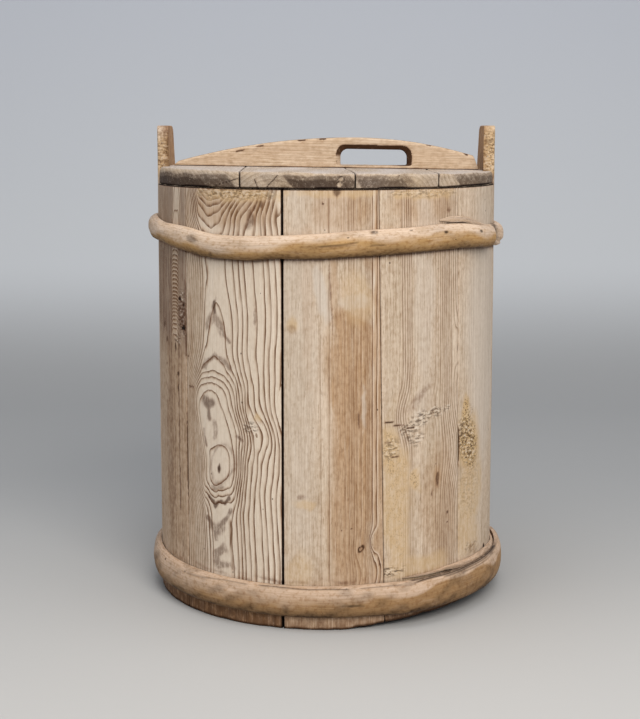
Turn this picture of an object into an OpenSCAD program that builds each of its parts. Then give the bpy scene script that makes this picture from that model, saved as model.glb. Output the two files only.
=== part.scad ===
// Lidded stave tub. Twelve tapered staves stand round a bottom that is let into a groove, and two hoops of
// split branch bind them, each locked by a tail that is tucked behind its own run. Two of the staves rise past
// the rim as ears, and a loose boarded lid with an arched handle drops down between them.
// Sizes are millimetres. The floor is z = 0 and the front faces -Y. A direction round the tub is an azimuth
// in degrees, 0 at the front and growing towards +X.

/* [Tub] */
// Outer radius at the rim
rim_r = 210; // [190:1:230]
// Outer radius at the foot
base_r = 213; // [193:1:233]
// Height of the rim above the floor
tub_h = 510; // [440:1:580]
// Thickness of a stave
stave_t = 14; // [12:0.5:18]
// Gap between neighbouring staves
seam_gap = 0.4; // [0.2:0.1:1]
// Width of the front seam that has dried open
open_seam_gap = 2; // [0.5:0.1:4]
// Greatest height of the worn part of the foot
worn_foot = 10.5; // [2:0.5:14]
// Azimuth at which the foot is worn most
worn_az = 52; // [30:1:80]
// Azimuth from there to where the wear runs out
worn_reach = 47; // [30:1:55]

/* [Ears] */
// Width of an ear stave at the rim
ear_w = 80; // [64:1:96]
// Width across the top of an ear
ear_top_w = 55; // [44:1:60]
// Height of an ear above the rim
ear_rise = 70; // [50:1:90]
// Radius of the top corners of an ear
ear_corner_r = 10; // [4:0.5:15]

/* [Bottom] */
// Height of the middle of the groove that holds the bottom
groove_z = 40; // [32:1:60]
// Height of that groove
groove_h = 9; // [6:0.5:12]
// Depth of that groove
groove_d = 6; // [3:0.5:8]
// Thickness of the bottom boards
bottom_t = 18; // [14:0.5:24]
// Width of the bevel that thins the bottom towards the groove
bottom_bevel_w = 14; // [8:1:25]
// Play of the bottom in its groove
bottom_play = 0.2; // [0.1:0.05:0.5]
// Gap between the bottom boards
bottom_gap = 0.4; // [0.2:0.1:1]

/* [Lid] */
// Radius of the lid
lid_r = 208; // [190:1:212]
// Thickness of the lid at its middle
lid_t = 18; // [15:0.5:24]
// Angle by which the top of the lid falls towards +X
lid_fall = 0.84; // [0:0.02:1.2]
// Radius of the worn upper edge
lid_round = 7; // [3:0.5:9]
// Gap between the lid boards
lid_gap = 1; // [0.4:0.1:2]
// Gap between the lid and the rim
seat_gap = 0.3; // [0.2:0.1:1]
// Play between the lid and an ear
ear_play = 1.5; // [1:0.1:3]

/* [Handle] */
// Length of the handle along the lid
handle_l = 380; // [340:1:384]
// Thickness of the handle
handle_t = 26; // [22:0.5:34]
// Height of the crest above the lid
handle_rise = 37.2; // [32:0.2:46]
// Distance of the crest from the middle
crest_x = 31; // [0:1:40]
// Radius of the long arch to the left of the crest
long_arch_r = 815; // [760:5:1200]
// Radius of the short arch to the right of the crest
short_arch_r = 530; // [500:5:800]
// How far the ends lean in
end_lean = 7; // [2:0.5:12]
// Distance of the left end of the hand slot from the middle
slot_x = 18; // [0:1:24]
// Length of the hand slot
slot_l = 83; // [70:1:95]
// Wood above the hand slot
slot_cover = 14; // [12:0.5:18]
// Wood below the hand slot
slot_sill = 2.7; // [2:0.1:5]
// Radius of the upper corners of the slot
slot_corner_r = 9; // [5:0.5:10]
// Width of the worn bevel round the slot
slot_ease = 6; // [2:0.5:7]
// Depth of the dovetail tongue
tongue_d = 6; // [4:0.5:7]
// Width of the tongue at the top of the lid
tongue_neck = 16; // [12:0.5:18]
// Width of the tongue at its foot
tongue_foot = 22; // [20:0.5:26]
// Play of the tongue in its groove
tongue_play = 0.15; // [0.1:0.05:0.3]

/* [Dowels] */
// Radius of a dowel
dowel_r = 3.5; // [2.5:0.1:4]
// Length of a dowel
dowel_l = 40; // [30:1:50]
// Radial play of a dowel in its hole
dowel_play = 0.05; // [0.02:0.01:0.1]
// Play at each end of a dowel
dowel_end_play = 0.5; // [0.2:0.1:1]
// Distance of the dowels from the middle of a seam
dowel_y = 105; // [70:1:120]

/* [Hoops] */
// Distance of the upper hoop below the rim
upper_drop = 60; // [50:1:90]
// Height of the upper hoop
upper_h = 28; // [22:0.5:34]
// Thickness of the upper hoop
upper_t = 11.5; // [9:0.5:15]
// Height of the middle of the lower hoop
lower_z = 35.5; // [33:0.5:45]
// Height of the lower hoop
lower_h = 39; // [30:0.5:40]
// Thickness of the lower hoop
lower_t = 10.5; // [8.5:0.5:14]
// Thickness of a hoop's tail
tail_t = 4.4; // [3:0.1:6]
// Height of a tail at its tip
tail_tip_h = 2.5; // [2:0.1:5]
// Clearance between a tail and the run that covers it
lock_gap = 0.6; // [0.5:0.1:1.5]
// Gap between a hoop and the staves
hoop_gap = 0.25; // [0.2:0.05:0.6]

/* [Hidden] */
$fn = 120;
PINE = "#c9b08c";
LID_PINE = "#aa9a89";
HANDLE_PINE = "#c9a982";
BRANCH = "#caa57b";
BOTTOM_PINE = "#a98f6d";
PEG = "#9b835f";

STAVES = [
    "ear_stave_left", "stave_left_front", "stave_front_left", "stave_front", "stave_front_right",
    "stave_right_front", "ear_stave_right", "stave_right_back", "stave_back_right", "stave_back",
    "stave_back_left", "stave_left_back"
];
BOTTOM_BOARDS = ["bottom_board_left", "bottom_board_mid_left", "bottom_board_mid_right", "bottom_board_right"];
LID_BOARDS = ["lid_board_left", "lid_board_mid_left", "lid_board_mid_right", "lid_board_right"];

// Half the azimuth that an ear stave takes up
ear_az = asin(ear_w / 2 / rim_r);
// Azimuths of the seams at the rim and at the foot, clockwise from behind the left ear
SEAMS = [
    [-90 - ear_az, -90 - ear_az], [ear_az - 90, ear_az - 90], [-51.5, -51.5], [-13.5, -13.5], [16.4, 19],
    [46.8, 49.2], [90 - ear_az, 90 - ear_az], [90 + ear_az, 90 + ear_az], [131, 131], [166, 166],
    [196, 196], [229, 229], [270 - ear_az, 270 - ear_az]
];
OPEN_SEAM = 3;
LEFT_EAR = 0;
RIGHT_EAR = 6;
// Where the seams between the bottom boards lie along X
BOTTOM_SEAMS = [-110, -5, 98];
// Where the seams between the lid boards lie along X at the front and at the back
LID_SEAMS = [[-97, -103], [33, 13], [130, 120]];

// A length past every outline, for cuts
beyond = 2 * (tub_h + base_r);
// Smallest overlap that makes a cut clean
nick = 0.5;
// Steps in a round corner of a flat outline
arc_steps = 6;
ear_top = tub_h + ear_rise;
lid_under = tub_h + seat_gap;
lid_top = lid_under + lid_t;
// Least width of rim that carries the lid
lid_seat = stave_t / 2;
crest_z = lid_top + handle_rise;

function mix(a, b, t) = a + (b - a) * t;
function ease(a, b, x) = let(t = min(1, max(0, (x - a) / (b - a)))) t * t * (3 - 2 * t);
function stave_r(z) = mix(base_r, rim_r, z / tub_h);
function bare_r(z) = stave_r(z) - stave_t;
// Inside of the tub, which reaches in far enough to carry the lid
function inner_r(z) = min(bare_r(z), lid_r - lid_seat);
function at(az, r, z) = [r * sin(az), -r * cos(az), z];
// Points along an arc of a flat outline
function arc(x, y, r, from, to) =
    [for (i = [0 : arc_steps]) let(a = mix(from, to, i / arc_steps)) [x + r * cos(a), y + r * sin(a)]];

// Turns X to point outwards at an azimuth, with Y towards growing azimuths
module facing(az) {
    rotate([0, 0, az - 90]) children();
}

// Section of a stave from the floor to a height, with the groove for the bottom
module stave_section(top) {
    low = groove_z - groove_h / 2;
    high = groove_z + groove_h / 2;
    ledge = top > tub_h && inner_r(tub_h) < bare_r(tub_h);
    polygon(concat(
        [[stave_r(0), 0], [stave_r(top), top], [ledge ? bare_r(top) : inner_r(top), top]],
        ledge ? [[bare_r(tub_h), tub_h], [inner_r(tub_h), tub_h]] : [],
        [[inner_r(high), high], [inner_r(high) + groove_d, high], [inner_r(low) + groove_d, low]],
        [[inner_r(low), low], [inner_r(0), 0]]
    ));
}

// All that lies past seam i, on the side that the sign gives
module past_seam(i, side) {
    seam = SEAMS[i];
    gap = i == OPEN_SEAM ? open_seam_gap : seam_gap;
    lean = atan(rim_r * (seam[1] - seam[0]) * PI / 180 / tub_h);
    facing((seam[0] + seam[1]) / 2)
    translate([0, 0, tub_h / 2])
    rotate([lean, 0, 0])
    translate([0, side > 0 ? -gap / 2 : gap / 2 - beyond, -beyond / 2])
    cube([beyond, beyond, beyond]);
}

// The slanting cut where the foot has worn away
module wear() {
    start = base_r * cos(worn_reach);
    facing(worn_az)
    translate([start, 0, 0])
    rotate([0, -atan(worn_foot / (base_r - start)), 0])
    translate([0, -beyond / 2, -beyond])
    cube([beyond, beyond, beyond]);
}

// What is cut from an ear stave above the rim: each side leans in and ends in a round corner
module ear_waste() {
    lean = atan((ear_w - ear_top_w) / 2 / ear_rise);
    corner_z = ear_rise - ear_corner_r;
    corner_y = ear_w / 2 - corner_z * tan(lean) - ear_corner_r / cos(lean);
    for (turn = [0, 1])
        mirror([0, turn, 0])
        translate([0, 0, tub_h])
        rotate([90, 0, 90])
        linear_extrude(beyond, center = true)
        polygon(concat(
            [[ear_w / 2, 0], [ear_w, 0], [ear_w, ear_rise + nick], [corner_y, ear_rise + nick]],
            arc(corner_y, corner_z, ear_corner_r, 90, lean)
        ));
}

module stave(i) {
    is_ear = i == LEFT_EAR || i == RIGHT_EAR;
    from = min(SEAMS[i]) - 1;
    to = max(SEAMS[i + 1]) + 1;
    color(PINE)
    difference() {
        facing(from) rotate_extrude(angle = to - from) stave_section(is_ear ? ear_top : tub_h);
        past_seam(i, -1);
        past_seam(i + 1, 1);
        wear();
        if (is_ear) ear_waste();
    }
}

// A peg across a seam, lying along X
module peg(r, l) {
    rotate([0, 90, 0]) cylinder(h = l, r = r, center = true);
}

// Two pegs, or the holes for them, across every seam of a boarded disc
module pegs(seams, grow_r, grow_l) {
    for (seam = seams, side = [-1, 1])
        translate([mix(seam[0], seam[1], 0.5 + side * dowel_y / lid_r / 2), side * dowel_y, 0])
        peg(dowel_r + grow_r, dowel_l + 2 * grow_l);
}

// The strip of board i between two seams, each of which may run aslant
module strip(seams, i, gap) {
    left = i == 0 ? [-beyond, -beyond] : seams[i - 1];
    right = i == len(seams) ? [beyond, beyond] : seams[i];
    linear_extrude(beyond, center = true)
    polygon([
        [left[0] + gap / 2, -lid_r], [right[0] - gap / 2, -lid_r],
        [right[1] - gap / 2, lid_r], [left[1] + gap / 2, lid_r]
    ]);
}

// The bottom as one disc, thinned towards the edge that sits in the groove
module bottom_disc() {
    edge = inner_r(groove_z) - bottom_play;
    tongue = edge + groove_d - bottom_play;
    thin = groove_h / 2 - bottom_play;
    full = bottom_t / 2;
    translate([0, 0, groove_z])
    rotate_extrude()
    polygon([
        [0, -full], [edge - bottom_bevel_w, -full], [edge - nick, -thin], [tongue, -thin],
        [tongue, thin], [edge - nick, thin], [edge - bottom_bevel_w, full], [0, full]
    ]);
}

// Seams of the bottom in the form that a lid's slanting seams have
function bottom_seams() = [for (x = BOTTOM_SEAMS) [x, x]];

module bottom_board(i) {
    color(BOTTOM_PINE)
    difference() {
        intersection() {
            bottom_disc();
            strip(bottom_seams(), i, bottom_gap);
        }
        translate([0, 0, groove_z]) pegs(bottom_seams(), dowel_play, dowel_end_play);
    }
}

module bottom_dowels() {
    color(PEG) translate([0, 0, groove_z]) pegs(bottom_seams(), 0, 0);
}

// Moves to the middle of the lid's top, which falls towards +X
module on_lid() {
    translate([0, 0, lid_top]) rotate([0, lid_fall, 0]) children();
}

// The lid as one disc with a round upper edge, sawn level below
module lid_disc() {
    deep = 2 * lid_t;
    difference() {
        on_lid()
        rotate_extrude() {
            translate([0, -deep]) square([lid_r - lid_round, deep]);
            translate([0, -deep]) square([lid_r, deep - lid_round]);
            translate([lid_r - lid_round, -lid_round]) circle(lid_round);
        }
        translate([-beyond / 2, -beyond / 2, lid_under - beyond]) cube([beyond, beyond, beyond]);
    }
}

// The notches that let the lid down between the ears
module ear_notches() {
    wide = ear_w + 2 * ear_play;
    difference() {
        translate([-beyond / 2, -wide / 2, tub_h]) cube([beyond, wide, ear_rise]);
        translate([0, 0, tub_h - nick]) cylinder(h = ear_rise + 2 * nick, r = bare_r(tub_h) - ear_play);
    }
}

// The dovetail below the handle, or with play the groove for it
module dovetail(length, play) {
    neck = tongue_neck / 2 + play;
    foot = tongue_foot / 2 + play;
    on_lid()
    rotate([90, 0, 90])
    linear_extrude(length, center = true)
    polygon([
        [-foot, -tongue_d - play], [foot, -tongue_d - play], [neck, 0], [neck, nick], [-neck, nick], [-neck, 0]
    ]);
}

module lid_board(i) {
    color(LID_PINE)
    difference() {
        intersection() {
            lid_disc();
            strip(LID_SEAMS, i, lid_gap);
        }
        ear_notches();
        dovetail(beyond, tongue_play);
        on_lid() translate([0, 0, -lid_t / 2]) pegs(LID_SEAMS, dowel_play, dowel_end_play);
    }
}

module lid_dowels() {
    color(PEG) on_lid() translate([0, 0, -lid_t / 2]) pegs(LID_SEAMS, 0, 0);
}

// Height of the handle's arched top along X
function arch_z(x) =
    let(r = x < crest_x ? long_arch_r : short_arch_r) crest_z - r + sqrt(r * r - pow(x - crest_x, 2));
// Height of the lid's top along X
function lid_z(x) = lid_top - x * tan(lid_fall);

// Half of the arch, left or right of the crest
module half_arch(r, side) {
    intersection() {
        translate([crest_x, crest_z - r]) circle(r, $fn = 720);
        translate([side > 0 ? crest_x : crest_x - beyond, crest_z - r]) square([beyond, r]);
    }
}

// Side view of the handle: two arches that meet at the crest, and ends that lean in
module handle_outline() {
    foot_x = handle_l / 2;
    top_x = foot_x - end_lean;
    intersection() {
        polygon([
            [-foot_x, lid_under], [foot_x, lid_under], [foot_x, lid_z(foot_x)], [top_x, arch_z(top_x)],
            [top_x, crest_z + nick], [-top_x, crest_z + nick], [-top_x, arch_z(-top_x)],
            [-foot_x, lid_z(-foot_x)]
        ]);
        union() {
            half_arch(long_arch_r, -1);
            half_arch(short_arch_r, 1);
        }
    }
}

// Outline of the hand slot, grown by the worn bevel on all sides but the sill
module slot_outline(grow) {
    r = slot_corner_r + grow;
    low_r = slot_corner_r / 3;
    left = slot_x - grow;
    right = slot_x + slot_l + grow;
    sill = lid_top + slot_sill;
    top_left = arch_z(left + r) - slot_cover + grow - r;
    top_right = arch_z(right - r) - slot_cover + grow - r;
    polygon(concat(
        arc(right - low_r, sill + low_r, low_r, 270, 360), arc(right - r, top_right, r, 0, 90),
        arc(left + r, top_left, r, 90, 180), arc(left + low_r, sill + low_r, low_r, 180, 270)
    ));
}

// A slice of the slot at a distance in front of the handle's middle plane
module slot_slice(forward, grow, thick) {
    translate([0, -forward, 0])
    rotate([90, 0, 0])
    linear_extrude(thick)
    slot_outline(grow);
}

module hand_slot() {
    face = handle_t / 2;
    slot_slice(-face - nick, 0, handle_t + 2 * nick);
    for (turn = [0, 1])
        mirror([0, turn, 0])
        hull() {
            slot_slice(face - slot_ease, 0, nick / 10);
            slot_slice(face, slot_ease, nick / 10);
        }
}

module lid_handle() {
    color(HANDLE_PINE) {
        difference() {
            rotate([90, 0, 0]) linear_extrude(handle_t, center = true) handle_outline();
            on_lid() translate([-beyond / 2, -beyond / 2, -beyond]) cube([beyond, beyond, beyond]);
            hand_slot();
        }
        dovetail(handle_l - 2 * end_lean, 0);
    }
}

// A hoop of half-round branch swept once round the tub and on past its start. It begins as a thin tail that
// pokes up above the run, grows to the full section by the root, and ends in a nose that covers the tail.
// waves gives how far the branch sways twice and three times round, and clear the azimuth from which the
// covering run stands off the staves.
module hoop(mid_z, high, thick, waves, tail, clear, root, nose, poke) {
    step = 4;
    stand_off = 14;
    tip_az = 6;
    tip_size = 0.35;
    last = 360 + nose;
    rings = ceil((last - tail) / step);
    sweep = (last - tail) / rings;
    arc = [for (turn = [-90 : 22.5 : 90]) turn];
    sides = len(arc);
    function tip(az) = mix(tip_size, 1, ease(0, tip_az, min(az - tail, last - az)));
    function run_z(az) = mid_z - waves[0] * cos(2 * az) + waves[1] * sin(3 * az);
    function ring_h(az) = mix(tail_tip_h, high, ease(tail + 8, root + 6, az));
    function ring_t(az) = mix(
        tail_t * mix(tip_size, 1, ease(tail, tail + 30, az)), thick, ease(nose + 1, nose + 13, az)
    );
    function above(az) = min(ring_h(az) + lock_gap, poke) * (1 - ease(root - 20, root, az));
    function ring_z(az) = run_z(az) + high / 2 + above(az) - ring_h(az) / 2;
    function lift(az) = (tail_t + lock_gap) * ease(clear - stand_off, clear, az - 360);
    function ring(az) = [
        for (turn = arc)
            let(z = ring_z(az) + tip(az) * ring_h(az) / 2 * sin(turn))
            let(inside = (stave_r(z) + hoop_gap + lift(az)) / cos(sweep / 2))
            at(az, inside + tip(az) * ring_t(az) * cos(turn), z)
    ];
    points = [for (k = [0 : rings]) each ring(tail + k * sweep)];
    walls = [
        for (k = [0 : rings - 1], j = [0 : sides - 1])
            let(a = k * sides + j, b = k * sides + (j + 1) % sides)
            each [[a, b, b + sides], [a, b + sides, a + sides]]
    ];
    tail_cap = [for (j = [1 : sides]) sides - j];
    nose_cap = [for (j = [0 : sides - 1]) rings * sides + j];
    color(BRANCH) polyhedron(points, concat(walls, [tail_cap, nose_cap]));
}

module lower_hoop() {
    hoop(lower_z, lower_h, lower_t, waves = [0.8, 1], tail = 25, clear = 27, root = 90, nose = 105, poke = 5);
}

module upper_hoop() {
    hoop(
        tub_h - upper_drop, upper_h, upper_t, waves = [2.2, 5], tail = 38, clear = 54, root = 74, nose = 69,
        poke = 12
    );
}

for (i = [0 : len(STAVES) - 1])
    stave(i);
for (i = [0 : len(BOTTOM_BOARDS) - 1])
    bottom_board(i);
bottom_dowels();
lower_hoop();
upper_hoop();
for (i = [0 : len(LID_BOARDS) - 1])
    lid_board(i);
lid_dowels();
lid_handle();
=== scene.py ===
"""Dressed scene of a lidded stave tub: weathered pine staves, two hoops of debarked branch and a boarded lid.

Lengths in the classes are millimetres, as on a drawing, and the meshes are metres. An azimuth is in degrees,
0 at the front (-Y) and growing towards +X. Across the staves, s is the distance round the tub from the front.
"""

import logging
import math
from dataclasses import dataclass
from enum import Enum
from functools import partial
from typing import Callable, Optional, Sequence

import bpy
import numpy as np
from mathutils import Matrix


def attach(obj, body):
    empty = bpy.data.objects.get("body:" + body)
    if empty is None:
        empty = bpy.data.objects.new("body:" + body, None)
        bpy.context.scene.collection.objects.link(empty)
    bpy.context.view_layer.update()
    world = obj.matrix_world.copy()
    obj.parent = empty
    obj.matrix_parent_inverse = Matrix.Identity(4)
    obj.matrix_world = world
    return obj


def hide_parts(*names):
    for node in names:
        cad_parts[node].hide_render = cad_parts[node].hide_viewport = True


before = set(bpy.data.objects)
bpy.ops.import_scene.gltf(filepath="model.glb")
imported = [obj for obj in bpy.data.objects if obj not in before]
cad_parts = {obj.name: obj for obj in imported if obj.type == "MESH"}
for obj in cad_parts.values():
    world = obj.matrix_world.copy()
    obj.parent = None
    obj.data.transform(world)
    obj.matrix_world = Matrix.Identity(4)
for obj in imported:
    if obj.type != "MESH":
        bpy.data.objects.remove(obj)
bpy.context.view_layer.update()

MM = 0.001
BASE_R, RIM_R, TUB_HIGH = 213.0, 210.0, 510.0
EAR_RISE, EAR_W = 70.0, 80.0
EAR_AZ = math.degrees(math.asin(EAR_W / 2 / RIM_R))
FACE_RADIUS = (BASE_R + RIM_R) / 2
SPIN_ANGLE, SPIN_R = math.pi / 2, 2.0
SMOOTH_ANGLE = math.radians(38)
WELD_M, FINE_WELD_M = 1e-5, 1e-6
WAVES = 6
MARK_REACH, MARK_EDGE = 2.5, 0.9
log = logging.getLogger("stave_tub")

Points = Sequence[tuple[float, float]]
Values = np.ndarray
Amount = float | Values
Piece = bpy.types.Object
Material = bpy.types.Material
Socket = bpy.types.NodeSocket


class Mark(Enum):
    """What time has done to a patch of wood; the value is its column among the marks. The stain column also carries
    painted shade.
    """

    STAIN = 0
    WORM = 1
    WARM = 2
    GREY = 3
    CHIP = 4


STAIN, WORM, WARM, GREY, CHIP = Mark


class Axis(Enum):
    """The object axis along which the fibres of a board run."""

    X = 0
    Y = 1
    Z = 2


def linear(code: str) -> tuple[float, float, float, float]:
    """Turns an sRGB hex colour into linear values.

    Args:
        code: Colour as "#rrggbb".

    Returns:
        Linear red, green, blue and an alpha of 1.
    """
    parts = [int(code[k:k + 2], 16) / 255 for k in (1, 3, 5)]
    r, g, b = [p / 12.92 if p <= 0.04045 else ((p + 0.055) / 1.055) ** 2.4 for p in parts]
    return r, g, b, 1.0


def mix(a: Amount, b: Amount, t: Amount) -> Amount:
    """Goes from a to b as t goes from 0 to 1."""
    return a + (b - a) * t


def ease(low: float, high: float, x: Amount) -> Amount:
    """Rises smoothly from 0 at low to 1 at high."""
    t = np.clip((np.asarray(x, float) - low) / (high - low), 0, 1)
    return t * t * (3 - 2 * t)


def bell(x: Amount, width: Amount) -> Amount:
    """A bump of height 1 that has mostly gone at one width from its middle."""
    return np.exp(-(np.asarray(x, float) / width) ** 2)


def off_line(x: Values, y: Values, x0: float, y0: float, x1: float, y1: float) -> Values:
    """Distance of points from a straight line between two ends."""
    t = ((x - x0) * (x1 - x0) + (y - y0) * (y1 - y0)) / ((x1 - x0) ** 2 + (y1 - y0) ** 2)
    t = np.clip(t, 0, 1)
    return np.hypot(x - mix(x0, x1, t), y - mix(y0, y1, t))


def smooth_through(points: Points) -> Callable[[Values], Values]:
    """Lays a smooth curve through points in rising order.

    Args:
        points: Pairs of a place and the value there.

    Returns:
        A function that gives the curve's value at any place, level past the ends.
    """
    xs, ys = np.array(points, float).T
    slopes = np.gradient(ys, xs)

    def value(place: Values) -> Values:
        """Cubic value of the curve at each place."""
        x = np.clip(np.asarray(place, float), xs[0], xs[-1])
        k = np.clip(np.searchsorted(xs, x) - 1, 0, len(xs) - 2)
        span = xs[k + 1] - xs[k]
        t = (x - xs[k]) / span
        start = (1 + 2 * t) * (1 - t) ** 2 * ys[k] + t * (1 - t) ** 2 * span * slopes[k]
        end = t * t * (3 - 2 * t) * ys[k + 1] + t * t * (t - 1) * span * slopes[k + 1]
        return start + end

    return value


def wander(seed: int, *coords: tuple[Values, float]) -> Values:
    """A smooth seeded unevenness, mostly between -1 and 1.

    Args:
        seed: Picks the pattern.
        coords: Pairs of a coordinate and the length over which the pattern changes along it.

    Returns:
        One value for each point.
    """
    draw = np.random.default_rng(seed)
    total = 0.0
    for _ in range(WAVES):
        phase = draw.uniform(0, 2 * math.pi)
        for value, length in coords:
            phase = phase + np.asarray(value, float) / length * draw.uniform(0.8, 2.6) * draw.choice((-1, 1))
        total = total + np.sin(phase)
    return total / (WAVES / 2)


def stations(length: float, cell: float, edge: Sequence[float]) -> Values:
    """Places along a length, close together at both ends so that a worn edge can be round.

    Args:
        length: The whole length.
        cell: Spacing away from the ends.
        edge: Distances of the extra places from each end.

    Returns:
        Rising distances from 0 to the length.
    """
    inner = np.linspace(edge[-1], length - edge[-1], max(2, round((length - 2 * edge[-1]) / cell) + 1))
    near = np.array([0.0, *edge[:-1]])
    return np.concatenate([near, inner, length - near[::-1]])


def worn(distance: Values, radius: float) -> Values:
    """How far a round arris of a radius falls away at a distance from the edge."""
    d = np.clip(distance, 0, radius)
    return radius - np.sqrt(radius**2 - (radius - d) ** 2)


def add_node(tree: bpy.types.NodeTree, kind: str, *values, out: Optional[str] = None,
             **settings) -> Socket | bpy.types.Node:
    """Adds one shader node with its settings and links.

    Args:
        tree: Node tree that gets the node.
        kind: Blender's name of the node type, without "ShaderNode".
        values: A constant, a colour's code or another node's output for each open input in turn, or one dict of
            them by name.
        out: Output to hand back; without it, the first open one.
        settings: The node's own properties.

    Returns:
        The chosen output, or the node where it has none.
    """
    node = tree.nodes.new("ShaderNode" + kind)
    for key, value in settings.items():
        setattr(node, key, value)
    if values and isinstance(values[0], dict):
        sockets = [(node.inputs[key], value) for key, value in values[0].items()]
    else:
        sockets = zip([socket for socket in node.inputs if socket.enabled], values)
    for socket, value in sockets:
        if isinstance(value, Socket):
            tree.links.new(value, socket)
        else:
            socket.default_value = linear(value) if isinstance(value, str) else value
    return node.outputs[out] if out else next((o for o in node.outputs if o.enabled), node)


def nodes_of(owner: Material | bpy.types.World) -> Callable:
    """Clears the node tree of a material or world and hands back what adds nodes to it."""
    owner.use_nodes = True
    owner.node_tree.nodes.clear()
    return partial(add_node, owner.node_tree)


# Settings that many nodes share
TIMES = {"operation": "MULTIPLY"}
TIMES_PLUS = {"operation": "MULTIPLY_ADD"}
OVER = {"operation": "DIVIDE"}
OR_MORE = {"operation": "MAXIMUM"}
COLOURS = {"data_type": "RGBA"}
DARKEN = {"data_type": "RGBA", "blend_type": "MULTIPLY"}
SOFT_STEP = {"interpolation_type": "SMOOTHSTEP"}


@dataclass(frozen=True)
class Finish:
    """A procedural material, named for what the piece is made of."""

    name: str

    def coat(self, add: Callable) -> dict:
        """Lays out the pattern.

        Args:
            add: Adds a node to the material.

        Returns:
            Values for the surface by the name of its input.
        """
        raise NotImplementedError

    def material(self) -> Material:
        """Builds the material.

        Returns:
            The material, with the pattern on its surface.
        """
        made = bpy.data.materials.new(self.name)
        add = nodes_of(made)
        add("OutputMaterial", add("BsdfPrincipled", self.coat(add)))
        return made


@dataclass(frozen=True)
class Wood(Finish):
    """What all woods share: fibres that run along one axis, and small dark specks."""

    along: Axis = Axis.Z
    fibre_mm: float = 1.2
    fibre_length_mm: float = 60.0

    def cells(self, add: Callable, where: Socket, across_mm: float, along_mm: float) -> Socket:
        """Coordinates counted in cells of a real size.

        Args:
            add: Adds a node to the material.
            where: The coordinates, in metres.
            across_mm: Size of a cell across the fibres.
            along_mm: Its size along them.

        Returns:
            The scaled coordinates.
        """
        scale = [1 / (across_mm * MM)] * 3
        scale[self.along.value] = 1 / (along_mm * MM)
        return add("VectorMath", where, tuple(scale), **TIMES)

    @staticmethod
    def specks(add: Callable, cells: Socket, fewest: float, largest: float) -> Socket:
        """Marks a small spot in some of the cells.

        Args:
            add: Adds a node to the material.
            cells: Coordinates counted in cells.
            fewest: Share of the cells without a spot.
            largest: Radius of the largest spot, in cells.

        Returns:
            1 in a spot and 0 elsewhere.
        """
        dots = add("TexVoronoi", cells, 1.0)
        chosen = add("SeparateColor", dots.node.outputs["Color"])
        return add("Math", dots, add("MapRange", chosen, fewest, 1.0, 0.0, largest), operation="LESS_THAN")


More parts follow.
